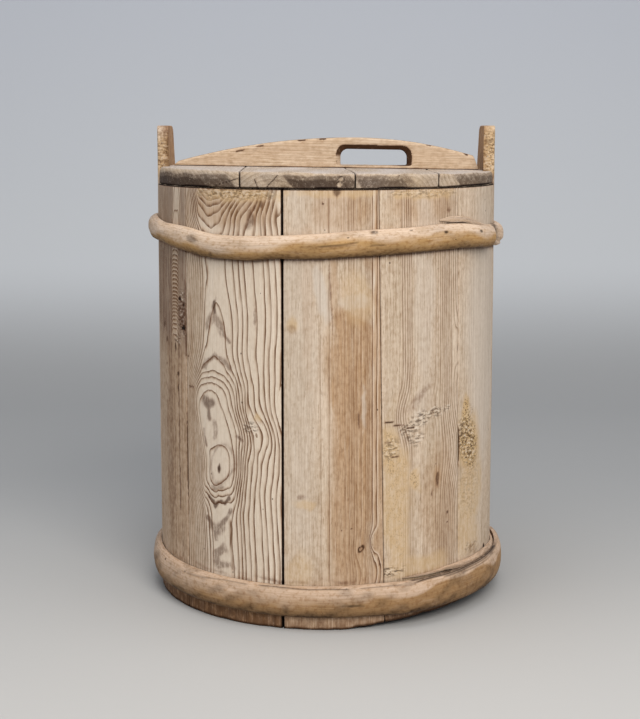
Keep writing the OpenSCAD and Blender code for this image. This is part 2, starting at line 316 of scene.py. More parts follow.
@dataclass(frozen=True)
class Pine(Wood):
    """Old pine, riven and planed, then dried and worn bare for a century.

    Soft early wood weathers to a pale dusty tan and the hard late wood is left as thin brown lines, each soft
    on one side and sharp on the other. Between them the eye sees fine fibres, grey or orange patches, worm-eaten
    yellow dust and brown stains, all of it matt. A highlight along the sharp side of each line, a glint on the
    fibres, shade under lifted chips and the shade that the pieces lay into their stain are painted in.
    """

    early: str = "#decbb5"
    late: str = "#5a3413"
    shade: str = "#a67a4e"
    lit: str = "#efe3d2"
    warm: str = "#b58d63"
    grey: str = "#d3c8bb"
    dull: str = "#c6b49c"
    dust: str = "#cfae7e"
    stain: str = "#38200c"
    tint: str = "#7c4c30"
    grime_and_gap_shade: str = "#150e09"
    painted: bool = True
    line_mm: float = 1.75
    late_strength: float = 0.94
    fleck: float = 0.62
    speck_mm: float = 12.0
    pit_mm: float = 1.9
    relief_mm: float = 0.7
    plain_year_mm: float = 5.0

    def readings(self, add: Callable, where: Socket, broad: Socket) -> tuple[Socket, ...]:
        """What the pattern reads off a painted piece, or else makes up.

        Args:
            add: Adds a node to the material.
            where: The coordinates, in metres.
            broad: Noise in broad clouds.

        Returns:
            Year count, years per millimetre, strength of the year lines, chips, stain, worm, warm and grey.
        """
        if self.painted:
            ring, pace, shown, chips = (add("Attribute", out="Fac", attribute_name=name)
                                        for name in ("ring", "pace", "shown", "chips"))
            marks = add("Attribute", out="Color", attribute_name="marks")
            stain, worm, warm = add("SeparateColor", marks).node.outputs
            return ring, pace, shown, chips, stain, worm, warm, marks.node.outputs["Alpha"]
        ring = add("Math", add("SeparateXYZ", where), 1 / (self.plain_year_mm * MM), **TIMES)
        stain, grey, chips, pace, shown = (add("MapRange", broad, *steps) for steps in (
            (0.62, 0.8, 0.0, 0.3), (0.35, 0.7, 0.0, 0.6), (0.6, 0.8, 0.0, 0.5), (0.0, 1.0, 0.17, 0.23),
            (0.3, 0.7, 0.5, 1.0)))
        return ring, pace, shown, chips, stain, stain, stain, grey

    def coat(self, add: Callable) -> dict:
        """Lays the year lines, tones and marks over one another, as Finish.coat says."""
        where = add("TexCoord", out="Object")
        spread = partial(self.cells, add, where)
        fibre, broad, shake, crumb, pores, flake = (
            add("TexNoise", spread(across, along), 1.0, detail, rough) for across, along, detail, rough in (
                (self.fibre_mm, self.fibre_length_mm, 3.0, 0.62), (26, 190, 2.0, 0.5), (5, 34, 2.0, 0.55),
                (5, 7, 3.0, 0.6), (1.1, 11, 2.0, 0.6), (5.5, 2.8, 1.5, 0.55)))
        ring, pace, shown, chips, stain, worm, warm, grey = self.readings(add, where, broad)

        # Late wood: the year darkens slowly, ends in a thin hard line and starts again pale; a painted highlight lies
        # along the sharp side of each line
        loose = add("Math", add("MapRange", shake, 0.2, 0.8, -0.14, 0.14), add("MapRange", pace, 0.0, 0.2), **TIMES)
        year = add("Math", add("Math", ring, loose, operation="ADD"), operation="FRACT")
        left = add("Math", add("Math", 1.0, year, operation="SUBTRACT"), pace, **OVER)
        left = add("Math", left, add("Math", shown, 1.0, **OR_MORE), **OVER)
        core = add("MapRange", left, self.line_mm * 0.4, self.line_mm * 1.5, 0.9, 0.0, **SOFT_STEP)
        slow = add("MapRange", left, 0.0, self.line_mm * 2.8, 0.7, 0.0, **SOFT_STEP)
        uneven = add("MapRange", shake, 0.32, 0.62, 0.5, 1.0)
        bare = add("MapRange", worm, 0.0, 1.0, self.late_strength, self.late_strength * 0.2)
        soft = add("Math", shown, add("MapRange", shown, 1.0, 2.0, 1.0, 0.85), operation="MINIMUM")
        bold = add("Math", add("Math", uneven, soft, **TIMES), bare, **TIMES)
        drawn = add("Math", core, bold, **TIMES)
        # Painted highlight just past each hard line
        lit = add("MapRange", add("Math", year, pace, **OVER), 0.1, self.line_mm * 0.9, 0.4, 0.0)
        plain = add("Math", add("MapRange", shown, 0.2, 1.0, 1.0, 0.3), add("MapRange", grey, 0.0, 1.0, 1.0, 0.2),
                    **TIMES)

        # Worm-eaten wood has crowded pits; chips are flakes lifted across the fibres, with painted shade under their
        # edges and pale on the break
        pits = add("TexVoronoi", spread(self.pit_mm, self.pit_mm * 1.4), 1.0)
        pits = add("Math", add("MapRange", pits, 0.22, 0.46, 1.0, 0.0), add("MapRange", crumb, 0.36, 0.52), **TIMES)
        pits = add("Math", pits, add("MapRange", worm, 0.5, 0.95), **TIMES)
        torn, fresh, under = (add("Math", add("MapRange", flake, *steps), chips, **TIMES) for steps in (
            (0.47, 0.56), (0.36, 0.44, 0.5, 0.0), (0.53, 0.6, 0.0, 0.75)))
        grit = add("Math", crumb, 0.6, add("Math", fibre, 0.4, **TIMES), **TIMES_PLUS)
        ragged = add("Math", stain, 0.35, grit, **TIMES_PLUS)
        soak_and_shade = add("Math", stain, add("MapRange", ragged, 0.52, 0.72, 0.35, 1.1), use_clamp=True, **TIMES)
        speck = self.specks(add, spread(self.speck_mm, self.speck_mm * 1.5), 0.45, 0.08)

        # Shares of the tones in the early wood, the lines over them, the fibres, and last the marks; the stain mark
        # also carries painted shade laid in by the pieces
        colour = self.early
        for share, tone, way in (
                (add("MapRange", shown, 0.5, 1.0, 0.0, 0.45), self.lit, COLOURS),
                (add("Math", add("MapRange", broad, 0.38, 0.68, 0.0, 0.5), add("MapRange", shown, 0.3, 1.0, 1.0, 0.3),
                     **TIMES), self.dull, COLOURS),
                (add("Math", warm, add("MapRange", shake, 0.3, 0.7, 0.75, 1.0), **TIMES), self.warm, COLOURS),
                (add("Math", grey, 0.8, **TIMES), self.grey, COLOURS),
                (add("Math", slow, bold, **TIMES), self.shade, COLOURS),
                (drawn, self.late, COLOURS),
                (add("Math", lit, bold, **TIMES), self.lit, COLOURS),
                (add("Math", add("MapRange", fibre, 0.46, 0.74, 0.0, 0.6), plain, **TIMES),
                 (0.5, 0.4, 0.3, 1), DARKEN),
                # Painted glint on the fibres
                (add("MapRange", fibre, 0.24, 0.42, 0.4, 0.0), self.lit, COLOURS),
                (add("Math", add("MapRange", pores, 0.56, 0.7, 0.0, self.fleck), plain, **TIMES),
                 (0.44, 0.33, 0.22, 1), DARKEN),
                (add("Math", add("MapRange", crumb, 0.42, 0.66, 0.0, 0.5),
                     add("MapRange", plain, 0.2, 1.0, 0.25, 1.0), **TIMES), (0.66, 0.57, 0.47, 1), DARKEN),
                (add("Math", worm, add("MapRange", crumb, 0.3, 0.62, 0.65, 1.0), **TIMES), self.dust, COLOURS),
                (add("Math", pits, 0.9, **TIMES), self.stain, COLOURS),
                (fresh, self.lit, COLOURS), (under, self.stain, COLOURS),
                # Stain, and the painted shade that the pieces lay into the stain column
                (soak_and_shade, add("Mix", soak_and_shade, self.tint, self.stain, **COLOURS), COLOURS),
                # Near black where the stain is fullest: painted shade in the gaps and under the lid, and the darkest
                # holes and stains
                (add("MapRange", stain, 0.9, 1.0, 0.0, 0.85), self.grime_and_gap_shade, COLOURS),
                (add("Math", speck, 0.75, **TIMES), self.stain, COLOURS)):
            colour = add("Mix", share, colour, tone, **way)

        height = add("Math", drawn, 0.12, fibre, **TIMES_PLUS)
        height = add("Math", add("Math", pits, speck, **OR_MORE), -1.2, height, **TIMES_PLUS)
        height = add("Math", torn, -1.8, height, **TIMES_PLUS)
        return {"Base Color": colour, "Roughness": add("MapRange", fibre, 0.3, 0.7, 0.7, 0.9),
                "Normal": add("Bump", {"Height": height, "Strength": 0.75, "Distance": self.relief_mm * MM}),
                "Specular IOR Level": 0.18}


@dataclass(frozen=True)
class Branch(Wood):
    """A split branch with its bark shaved off, handled smooth.

    The skin shows long pale fibres that run with the bend, pinkish where hands and light reach it, honey-tan
    lower down, with brown knots and fine drying cracks, and a faint sheen. The brown also takes the painted shade
    that the hoop lays on its underside and in its gaps.
    """

    along: Axis = Axis.X
    pale: str = "#dcc5ae"
    tan: str = "#bd9765"
    brown: str = "#341c08"
    crack: str = "#2a1b11"
    relief_mm: float = 0.5

    def coat(self, add: Callable) -> dict:
        """Lays fibres, blotches and marks over the pale and tan skin, as Finish.coat says."""
        spread = partial(self.cells, add, add("Attribute", out="Vector", attribute_name="grain"))
        fibre, cloud, crumb = (
            add("TexNoise", spread(across, along), 1.0, detail, 0.6) for across, along, detail in (
                (self.fibre_mm, self.fibre_length_mm, 3.0), (8, 26, 4.0), (3, 5, 2.0)))
        marks = add("Attribute", out="Color", attribute_name="marks")
        stain, deep, warm = add("SeparateColor", marks).node.outputs
        honey = add("Math", warm, add("MapRange", cloud, 0.3, 0.66, -0.2, 0.25), operation="ADD", use_clamp=True)
        speck = self.specks(add, spread(12, 22), 0.55, 0.09)
        colour = self.pale
        for share, tone, way in (
                (honey, self.tan, COLOURS),
                (add("MapRange", fibre, 0.44, 0.7, 0.0, 0.6), (0.66, 0.57, 0.47, 1), DARKEN),
                (add("MapRange", crumb, 0.5, 0.66, 0.0, 0.6), (0.68, 0.56, 0.43, 1), DARKEN),
                # Brown stain, with the painted shade on the underside and in the gaps
                (add("Math", stain, add("MapRange", crumb, 0.3, 0.7, 0.65, 1.0), **TIMES), self.brown, COLOURS),
                (deep, self.crack, COLOURS),
                (add("Math", speck, 0.7, **TIMES), self.brown, COLOURS)):
            colour = add("Mix", share, colour, tone, **way)
        height = add("Math", cloud, 0.8, fibre, **TIMES_PLUS)
        height = add("Math", crumb, 0.7, height, **TIMES_PLUS)
        return {"Base Color": colour, "Roughness": add("MapRange", cloud, 0.3, 0.7, 0.55, 0.72),
                "Normal": add("Bump", {"Height": height, "Strength": 0.8, "Distance": self.relief_mm * MM}),
                "Specular IOR Level": 0.25}


@dataclass(frozen=True)
class Paper(Finish):
    """Seamless paper: matt, pale grey, a little darker where it rises behind the tub; the darkening towards the back
    and the lighter tone up the wall are painted shade and light.
    """

    def coat(self, add: Callable) -> dict:
        """Goes from the near floor to the wall behind, as Finish.coat says."""
        _, y, z = add("SeparateXYZ", add("TexCoord", out="Object")).node.outputs
        # Painted shade towards the back of the floor and painted light up the wall
        colour = "#c2c1be"
        for share, tone in ((add("MapRange", y, -0.6, 0.6, **SOFT_STEP), "#a3a4a4"),
                            (add("MapRange", z, 0.0, 0.24, **SOFT_STEP), "#cdd0d2"),
                            (add("MapRange", z, 0.3, 1.0), "#c8ccd3")):
            colour = add("Mix", share, colour, tone, **COLOURS)
        return {"Base Color": colour, "Roughness": 0.9, "Specular IOR Level": 0.1}


STAVE_PINE = Pine("weathered_stave_pine")
LID_PINE = Pine("greyed_lid_pine", early="#c0b09e", late="#6d5643", shade="#8a705a", warm="#c9b293", grey="#c8beb8",
                dull="#b5a89c", stain="#2b190f", tint="#5d463a", along=Axis.Y, late_strength=0.5, fleck=0.5,
                fibre_mm=1.1)
HANDLE_PINE = Pine("scrubbed_handle_pine", early="#dfcab1", late="#8e6845", shade="#b08a62", warm="#d0b394",
                   grey="#d8c5b0", dull="#d3bb9c", stain="#3f2510", along=Axis.X, late_strength=0.5, fleck=0.45,
                   fibre_mm=0.9, fibre_length_mm=34.0)
BOTTOM_PINE = Pine("darkened_bottom_pine", early="#a98d6b", late="#6b4e34", shade="#8a6a48", grey="#98816a",
                   dull="#98816a", along=Axis.Y, painted=False)
DOWEL_PINE = Pine("riven_dowel_pine", early="#b3946c", late="#7d5d3d", shade="#8a6a48", grey="#a48a6a",
                  dull="#a48a6a", along=Axis.X, painted=False)
UPPER_BRANCH = Branch("debarked_branch")
LOWER_BRANCH = Branch("debarked_root_branch", pale="#d0b59c", tan="#a5825a", brown="#2a170a")
PAPER = Paper("seamless_paper")


@dataclass(frozen=True)
class Patch:
    """One mark on a board, a soft ellipse with a ragged edge; hollow leaves only its rim."""

    kind: Mark
    s: float
    z: float
    wide: float
    tall: float
    strength: float = 0.8
    lean: float = 0.0
    soft: float = 0.35
    square: float = 2.0
    hollow: bool = False

    def lay(self, s: Values, z: Values, seed: int) -> Values:
        """Strength of the mark over a board.

        Args:
            s: Distance across for each point.
            z: Distance along the fibres for each point.
            seed: Picks the ragged edge.

        Returns:
            A strength for each point.
        """
        size = min(self.wide, self.tall)
        laid = np.zeros(len(s))
        across, up = (s - self.s - self.lean * (z - self.z)) / self.wide, (z - self.z) / self.tall
        near = (np.abs(across) < MARK_REACH) & (np.abs(up) < MARK_REACH)
        s, z = s[near], z[near]
        away = (np.abs(across[near]) ** self.square + np.abs(up[near]) ** self.square) ** (1 / self.square)
        away = away * (1 + 0.22 * wander(seed, (s, size * 0.9), (z, size * 1.4)))
        if self.hollow:
            shape = bell(away - 0.8, self.soft)
        else:
            shape = 1 - ease(MARK_EDGE - self.soft, MARK_EDGE + self.soft, away)
        laid[near] = self.strength * shape
        return laid


@dataclass(frozen=True)
class Stroke:
    """One mark that follows a bent line on a board, with a ragged edge."""

    kind: Mark
    points: Points
    wide: float = 2.0
    strength: float = 0.5
    soft: float = 0.45

    def lay(self, s: Values, z: Values, seed: int) -> Values:
        """Strength of the mark over a board; arguments and result are those of Patch.lay."""
        laid = np.zeros(len(s))
        across, up = np.array(self.points).T
        margin = 3 * self.wide
        near = (s > across.min() - margin) & (s < across.max() + margin)
        near = near & (z > up.min() - margin) & (z < up.max() + margin)
        s, z = s[near], z[near]
        away = np.min([off_line(s, z, *start, *end) for start, end in zip(self.points, self.points[1:])], axis=0)
        away = away / self.wide * (1 + 0.4 * wander(seed, (s, self.wide * 1.6), (z, self.wide * 3)))
        laid[near] = self.strength * (1 - ease(MARK_EDGE - self.soft, MARK_EDGE + self.soft, away))
        return laid


Marks = tuple[Patch | Stroke, ...]


def marked(*rows: tuple) -> Marks:
    """Makes marks in order from rows of their values; a row with a line of points after its kind is a stroke."""
    return tuple((Stroke if isinstance(row[1], tuple) else Patch)(*row) for row in rows)


@dataclass(frozen=True)
class Swirl:
    """A place where the year lines are pushed aside; part opens them round a knot."""

    s: float
    z: float
    wide: float
    tall: float
    push: float = 0.0
    part: float = 0.0


@dataclass(frozen=True)
class Figure:
    """How the year lines run on the face of a board that was cut beside the heart."""

    heart: Points
    spread: Points = ()
    shapes: tuple[tuple[float, float, Points], ...] = ()
    fade: Points = ((0, 1.0), (580, 1.0))
    side: Points = ((-900, 1.0), (900, 1.0))
    ring_mm: float = 5.3
    flat_mm: float = 20.0
    climb: Points = ((0, 0.0), (580, 0.0))
    reach: Points = ((0, 30.0), (580, 30.0))
    swirls: tuple[Swirl, ...] = ()
    sway: float = 0.35
    uneven: float = 0.25
    groups: tuple[tuple[float, float, float], ...] = ()
    faint: float = 1.0

    def shown(self, years: Values, s: Values, z: Values) -> Values:
        """How strongly the lines show, from groups of a middle year, half a width in years and a strength."""
        strength = np.full(len(years), self.faint)
        for middle, half, bold in self.groups:
            strength = np.maximum(strength, bold * (1 - ease(0.75, 1.25, np.abs(years - middle) / half)))
        off = s - smooth_through(self.heart)(z)
        return strength * smooth_through(self.fade)(z) * smooth_through(self.side)(off)

    def rings(self, s: Values, z: Values, depth: Values, seed: int) -> Values:
        """Counts the years at each point of a board; a late-wood line lies at each whole number.

        Args:
            s: Distance across the board.
            z: Height along it.
            depth: Distance below its face.
            seed: Picks the sway of the lines.

        Returns:
            A year count for each point.
        """
        x = s - smooth_through(self.heart)(z)
        if self.spread:
            years = smooth_through(self.spread)(x)
            for start, end, shape in self.shapes:
                years = mix(years, smooth_through(shape)(x), ease(start, end, z))
        else:
            years = (np.hypot(x, self.flat_mm) - self.flat_mm) / self.ring_mm
        years = years + smooth_through(self.climb)(z) * bell(x, smooth_through(self.reach)(z))
        for swirl in self.swirls:
            near = bell(s - swirl.s, swirl.wide) * bell(z - swirl.z, swirl.tall)
            years = years + (swirl.push - swirl.part * (s - swirl.s) / swirl.wide) * near
        years = years + self.sway * wander(seed, (s, 45.0), (z, 190.0)) + depth / self.ring_mm * 0.6
        return years + self.uneven * np.sin(1.9 * years) + 0.45 * self.uneven * np.sin(3.7 * years + 1.0)


def alone(piece: Piece) -> None:
    """Makes a piece the active one, and the only one selected."""
    bpy.ops.object.select_all(action="DESELECT")
    bpy.context.view_layer.objects.active = piece
    piece.select_set(True)


def pick_all() -> None:
    """Selects all of the piece that is in edit mode."""
    bpy.ops.mesh.select_all(action="SELECT")


def turn_outwards() -> None:
    """Turns all faces of the piece in edit mode outwards and goes back to object mode."""
    pick_all()
    bpy.ops.mesh.normals_make_consistent(inside=False)
    bpy.ops.object.mode_set(mode="OBJECT")


def new_piece(name: str, make: Callable, **settings) -> Piece:
    """Adds a piece at the origin.

    Args:
        name: Name of the piece.
        make: Operator that adds it.
        settings: What the operator is given.

    Returns:
        The piece, active and selected alone, with its place, turn and scale applied.
    """
    bpy.ops.object.select_all(action="DESELECT")
    make(**settings)
    piece = bpy.context.object
    piece.name = piece.data.name = name
    bpy.ops.object.transform_apply(location=True, rotation=True, scale=True)
    return piece


def points_of(piece: Piece) -> Values:
    """The piece's points as rows of x, y and z in metres."""
    co = np.empty(len(piece.data.vertices) * 3, np.float32)
    piece.data.vertices.foreach_get("co", co)
    return co.reshape(-1, 3).astype(float)


def move(piece: Piece, x_mm: Values, y_mm: Values, z_mm: Values) -> None:
    """Moves every point of a piece to its place in millimetres."""
    place = np.stack([x_mm, y_mm, z_mm], axis=1) * MM
    piece.data.vertices.foreach_set("co", place.astype(np.float32).ravel())
    piece.data.update()


def set_out(piece: Piece, x_mm: Values, y_mm: Values, z_mm: Values, roll: bool = False) -> None:
    """Moves every point of a piece to its place and turns the faces outwards.

    Args:
        piece: The piece.
        x_mm: Place of each point along X in millimetres.
        y_mm: The same along Y.
        z_mm: The same along Z.
        roll: Whether to join the edges of a rolled strip and close its ends.
    """
    move(piece, x_mm, y_mm, z_mm)
    alone(piece)
    bpy.ops.object.mode_set(mode="EDIT")
    pick_all()
    if roll:
        bpy.ops.mesh.remove_doubles(threshold=FINE_WELD_M)
        pick_all()
        bpy.ops.mesh.fill_holes(sides=0)
    turn_outwards()
    bpy.ops.object.shade_smooth_by_angle(angle=SMOOTH_ANGLE)


def blank(name: str, columns: int, rows: int, layers: int) -> tuple[Piece, Values]:
    """Spins a gridded plane into a closed block whose points can then be set out.

    Args:
        name: Name of the piece.
        columns: Steps of the spin.
        rows: Cells up the plane.
        layers: Cells through its thickness.

    Returns:
        The piece, and the column, row and layer of each of its points.
    """
    piece = new_piece(name, bpy.ops.mesh.primitive_grid_add, x_subdivisions=layers, y_subdivisions=rows, size=1,
                      location=(SPIN_R, 0, 0), rotation=(math.pi / 2, 0, 0))
    bpy.ops.object.mode_set(mode="EDIT")
    pick_all()
    bpy.ops.mesh.spin(steps=columns, angle=SPIN_ANGLE, center=(0, 0, 0), axis=(0, 0, 1))
    pick_all()
    bpy.ops.mesh.remove_doubles(threshold=WELD_M)
    bpy.ops.object.mode_set(mode="OBJECT")
    co = points_of(piece)
    column = np.abs(np.arctan2(co[:, 1], co[:, 0])) / SPIN_ANGLE * columns
    cells = [column, (co[:, 2] + 0.5) * rows, (np.hypot(co[:, 0], co[:, 1]) - SPIN_R + 0.5) * layers]
    return piece, np.rint(cells).astype(int)


def rolled(name: str, columns: int, around: int) -> tuple[Piece, Values]:
    """Lays out a gridded strip that can be rolled up into a bar.

    Args:
        name: Name of the piece.
        columns: Cells along the bar.
        around: Cells round its section.

    Returns:
        The piece, and the column and the place round the section of each of its points.
    """
    piece = new_piece(name, bpy.ops.mesh.primitive_grid_add, x_subdivisions=columns, y_subdivisions=around, size=1)
    co = points_of(piece)
    return piece, np.rint([(co[:, 0] + 0.5) * columns, (co[:, 1] + 0.5) * around]).astype(int)


def pick_edges(piece: Piece, wanted: Callable[[Values, Values], bool]) -> None:
    """Goes into edit mode with only some edges selected.

    Args:
        piece: The active piece, in object mode.
        wanted: Tells from an edge's two ends, in millimetres, whether it is wanted.
    """
    bpy.context.tool_settings.mesh_select_mode = (False, True, False)
    co = points_of(piece) / MM
    for parts in (piece.data.vertices, piece.data.polygons):
        parts.foreach_set("select", [False] * len(parts))
    for edge in piece.data.edges:
        edge.select = bool(wanted(*(co[v] for v in edge.vertices)))
    bpy.ops.object.mode_set(mode="EDIT")


def paint(piece: Piece, **fields: Values) -> None:
    """Stores values on the points of a piece for its material to read.

    Args:
        piece: The piece.
        fields: Attribute name against one number, three or four of them for each point.
    """
    kinds = {1: ("FLOAT", "value"), 3: ("FLOAT_VECTOR", "vector"), 4: ("FLOAT_COLOR", "color")}
    for name, values in fields.items():
        kind, key = kinds[1 if values.ndim == 1 else values.shape[1]]
        attribute = piece.data.attributes.new(name, kind, "POINT")
        attribute.data.foreach_set(key, values.astype(np.float32).ravel())


def fit(piece: Piece, node: str, body: str, material: Material) -> None:
    """Puts a finished piece on its body in place of its CAD node.

    Args:
        piece: The piece.
        node: CAD node that it stands for.
        body: Body that it moves with.
        material: Its finish.
    """
    piece.data.materials.clear()
    piece.data.materials.append(material)
    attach(piece, body)
    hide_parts(node)
    log.info("%s: %d faces on %s", piece.name, len(piece.data.polygons), body)


def round_tub(az: Values, r: Values, z: Values) -> tuple[Values, Values, Values]:
    """Places along X, Y and Z from azimuth in degrees, radius and height."""
    turn = np.radians(az)
    return r * np.sin(turn), -r * np.cos(turn), z


def face_r(z: Values) -> Values:
    """Outer radius of the staves at a height."""
    return mix(BASE_R, RIM_R, z / TUB_HIGH)


@dataclass(frozen=True)
class StavePlan:
    """What sets one stave apart: its seams, as azimuths at rim and foot, its figure and its marks."""

    name: str
    left: tuple[float, float]
    right: tuple[float, float]
    figure: Figure
    patches: Marks = ()
    gaps: tuple[float, float] = (0.4, 0.4)
    ear: bool = False
    cell: float = 2.4
    foot_stain_and_shade: float = 0.66
    foot_warm: float = 0.95


def hidden_figure(seed: int, middle_s: float) -> Figure:
    """A figure for a stave that the photograph doesn't show.

    Args:
        seed: Picks the figure.
        middle_s: Where the middle of the stave lies.

    Returns:
        Straight or arched year lines.
    """
    draw = np.random.default_rng(seed)
    levels = np.linspace(0, TUB_HIGH + EAR_RISE, 7)
    heart = middle_s + (draw.uniform(-30, 30) if seed % 2 else draw.choice((-1, 1)) * draw.uniform(80, 120))
    line = tuple((float(z), float(heart + draw.uniform(-7, 7))) for z in levels)
    climb = tuple((float(z), float(draw.uniform(-1.5, 3.5))) for z in levels)
    return Figure(line, ring_mm=float(draw.uniform(4.2, 6.0)), flat_mm=float(draw.uniform(10, 24)), climb=climb,
                  faint=0.42)


HERO_FIGURE = Figure(
    heart=((47, -133.8), (68, -133.6), (113, -135.8), (157, -137.5), (188, -133), (228, -140.9), (256, -147.5),
        (300, -141.5), (345, -136.5), (384, -136), (427, -138.6), (464, -144), (478, -147.5), (490, -147),
        (512, -146)),
    climb=((0, 0.6), (52, 0.6), (110, 0.65), (126, 0.6), (133, 0.4), (139, -0.1), (146, -1), (153, -2), (161, -3),
        (174, -3.6), (188, -3.75), (202, -3.5), (213, -3), (228, -2.5), (256, -2.4), (276, -2), (285, -1),
        (292, 0), (300, 1), (309, 1.5), (318, 2), (326, 2.22), (340, 2.36), (366, 2.64), (378, 2.9), (386, 3.12),
        (400, 3.35), (425, 3.4), (440, 3.3), (455, 2.6), (463.5, 2), (477.5, 1), (489.4, 0), (496.5, -1),
        (504, -2.2), (512, -3.4)),
    reach=((0, 40), (140, 40), (165, 30), (188, 25), (208, 30), (228, 38), (260, 43), (300, 44), (512, 44)),
    spread=((-64, 15), (-45, 10), (-35, 7), (-27, 4.6), (-24, 3.55), (-20.7, 2.5), (-15.7, 1.44), (-10.7, 0.4),
        (0, 0), (11, 0.2), (17, 0.35), (25, 0.75), (29.4, 1.65), (35, 2.75), (39, 3.75), (46, 4.85), (53, 5.9),
        (62.2, 6.95), (68.4, 8), (75.7, 9), (81.7, 10), (92, 11.8)),
    shapes=(
        (120, 188,
            ((-64, 11), (-46, 6.3), (-39, 4.3), (-35, 3.1), (-31.5, 2), (-28.3, 1.04), (-25.7, 0.3),
                (-22.3, -0.31), (-15.7, -0.47), (-8, -0.06), (0, 0), (8, -0.08), (16, -0.5), (22.7, -0.36),
                (26, 0.27), (29, 0.98), (31.7, 1.75), (34.3, 2.57), (37.3, 3.4), (40.7, 4.26), (46.7, 5.11),
                (53.3, 6.04), (58.3, 7), (65.7, 8), (73.3, 9), (80, 10), (92, 11.8))),
        (188, 228,
            ((-64, 12), (-50, 8.4), (-42, 6), (-36, 4.1), (-32, 2.7), (-28.7, 1.41), (-26, 0.565), (-22, -0.21),
                (-12, -0.2), (0, 0), (12, -0.2), (24.6, -0.36), (33, 0.18), (38, 0.92), (41, 1.78), (44.5, 2.64),
                (48, 3.51), (51, 4.41), (53.5, 5.35), (61, 6.19), (66, 7.12), (75, 8.05), (82, 9.3), (92, 11))),
        (228, 330,
            ((-64, 14.5), (-50, 11.07), (-42, 8.63), (-34, 6.13), (-30, 4.86), (-26, 3.6), (-22, 2.35),
                (-17.7, 1.2), (-14.3, 0.88), (-7, 0.34), (-3, 0.08), (0, 0), (3, 0.08), (8.5, 0.4), (17.3, 1.06),
                (22, 1.75), (27, 2.55), (34, 3.9), (40.5, 5.2), (45.7, 6.2), (56.5, 7.45), (67.4, 8.73),
                (73.5, 9.83), (81, 10.9), (92, 12.4)))),
    swirls=(Swirl(-66, 222, 10, 22, push=-0.5), Swirl(-76, 232, 11, 22, push=-1.1),
        Swirl(-92, 522, 40, 40, push=-3.2), Swirl(-133, 208, 12, 14, part=0.25),
        Swirl(-136, 168, 12, 14, part=-0.25), Swirl(-134, 147, 3.5, 13, push=0.35),
        Swirl(-121, 151, 7, 14, push=0.55), Swirl(-152.5, 151, 6, 14, push=0.4)),
    side=((-70, 0.45), (-34, 0.5), (-26, 0.58), (-20, 0.78), (-14, 1), (0, 1), (100, 1)),
    fade=((0, 1.12), (80, 1.12), (150, 1), (250, 1), (350, 1), (410, 1), (430, 1.02), (445, 1.15), (462, 1.45),
        (490, 1.55), (512, 1.55)),
    sway=0.03, uneven=0, faint=1)
LEFT_FIGURE = Figure(
    heart=((0, -222), (200, -220), (349, -218), (388, -217), (426, -216), (470, -213), (490, -210.5), (510, -210)),
    spread=((-90, 36), (-60, 27), (-40, 20), (-24, 12), (-16, 4.6), (-11, 1.4), (0, 0), (11, 1.4), (16, 4.6),
        (24, 12), (40, 20)),
    reach=((0, 400), (580, 400)), sway=0.2, uneven=0,
    climb=((0, 0), (290, 0), (338, 0.6), (349, 2.5), (388, 11.5), (410, 16), (426, 19.5), (450, 23), (470, 24.4),
        (490, 25.4), (510, 26)),
    fade=((0, 0.3), (315, 0.3), (345, 1.2), (440, 1.2), (470, 0.9), (510, 0.9)))
FRONT_FIGURE = Figure(heart=((0, 2), (150, 1), (272, 0), (510, -1)),
    spread=((-56, -1), (-50, 0), (-9.9, 9), (-4.8, 10), (5.4, 11), (14, 12), (23.1, 13), (27.6, 14), (30.5, 15),
        (33, 16), (36.5, 17), (41.5, 18), (46.8, 19), (49.1, 20), (51.5, 21), (54.4, 22), (59.8, 23), (64.5, 24),
        (70, 25.2)),
    swirls=(Swirl(41, 97, 8, 13, part=1.5), Swirl(55, 104, 10, 12, push=2.2), Swirl(62, 68, 13, 20, push=-1),
        Swirl(42, 66, 12, 16, push=-0.8)),
    sway=0.15, uneven=0, faint=0.08,
    groups=((10, 0.7, 0.25), (11, 0.7, 0.5), (17.7, 5.2, 0.34), (22, 0.55, 1), (23, 0.55, 1)))
FRONT_RIGHT_FIGURE = Figure(heart=((0, 3), (150, 2), (384, 0), (510, -3)),
    spread=((66, 0), (80, 3), (88, 5), (92, 6), (95, 7), (98.4, 8), (101, 9), (104, 10), (112, 12), (125, 15),
        (138, 18), (145, 20), (150, 21.5), (154, 23), (157, 24), (160, 25), (163, 26), (167, 27), (171, 28),
        (176, 29), (184, 30.8)),
    swirls=(Swirl(94, 250, 17, 27, push=3), Swirl(168, 202, 20, 42, push=-3.2), Swirl(132, 262, 12, 18, push=1.6),
        Swirl(177, 325, 8, 32, push=-2.6)),
    sway=0.15, uneven=0, groups=((7.6, 2.4, 0.62), (18, 0.8, 0.3), (24, 5.2, 0.55)), faint=0.12)
RIGHT_FIGURE = Figure(heart=((0, 330), (260, 335), (510, 332)), ring_mm=6.5, flat_mm=0.5, faint=0.14)

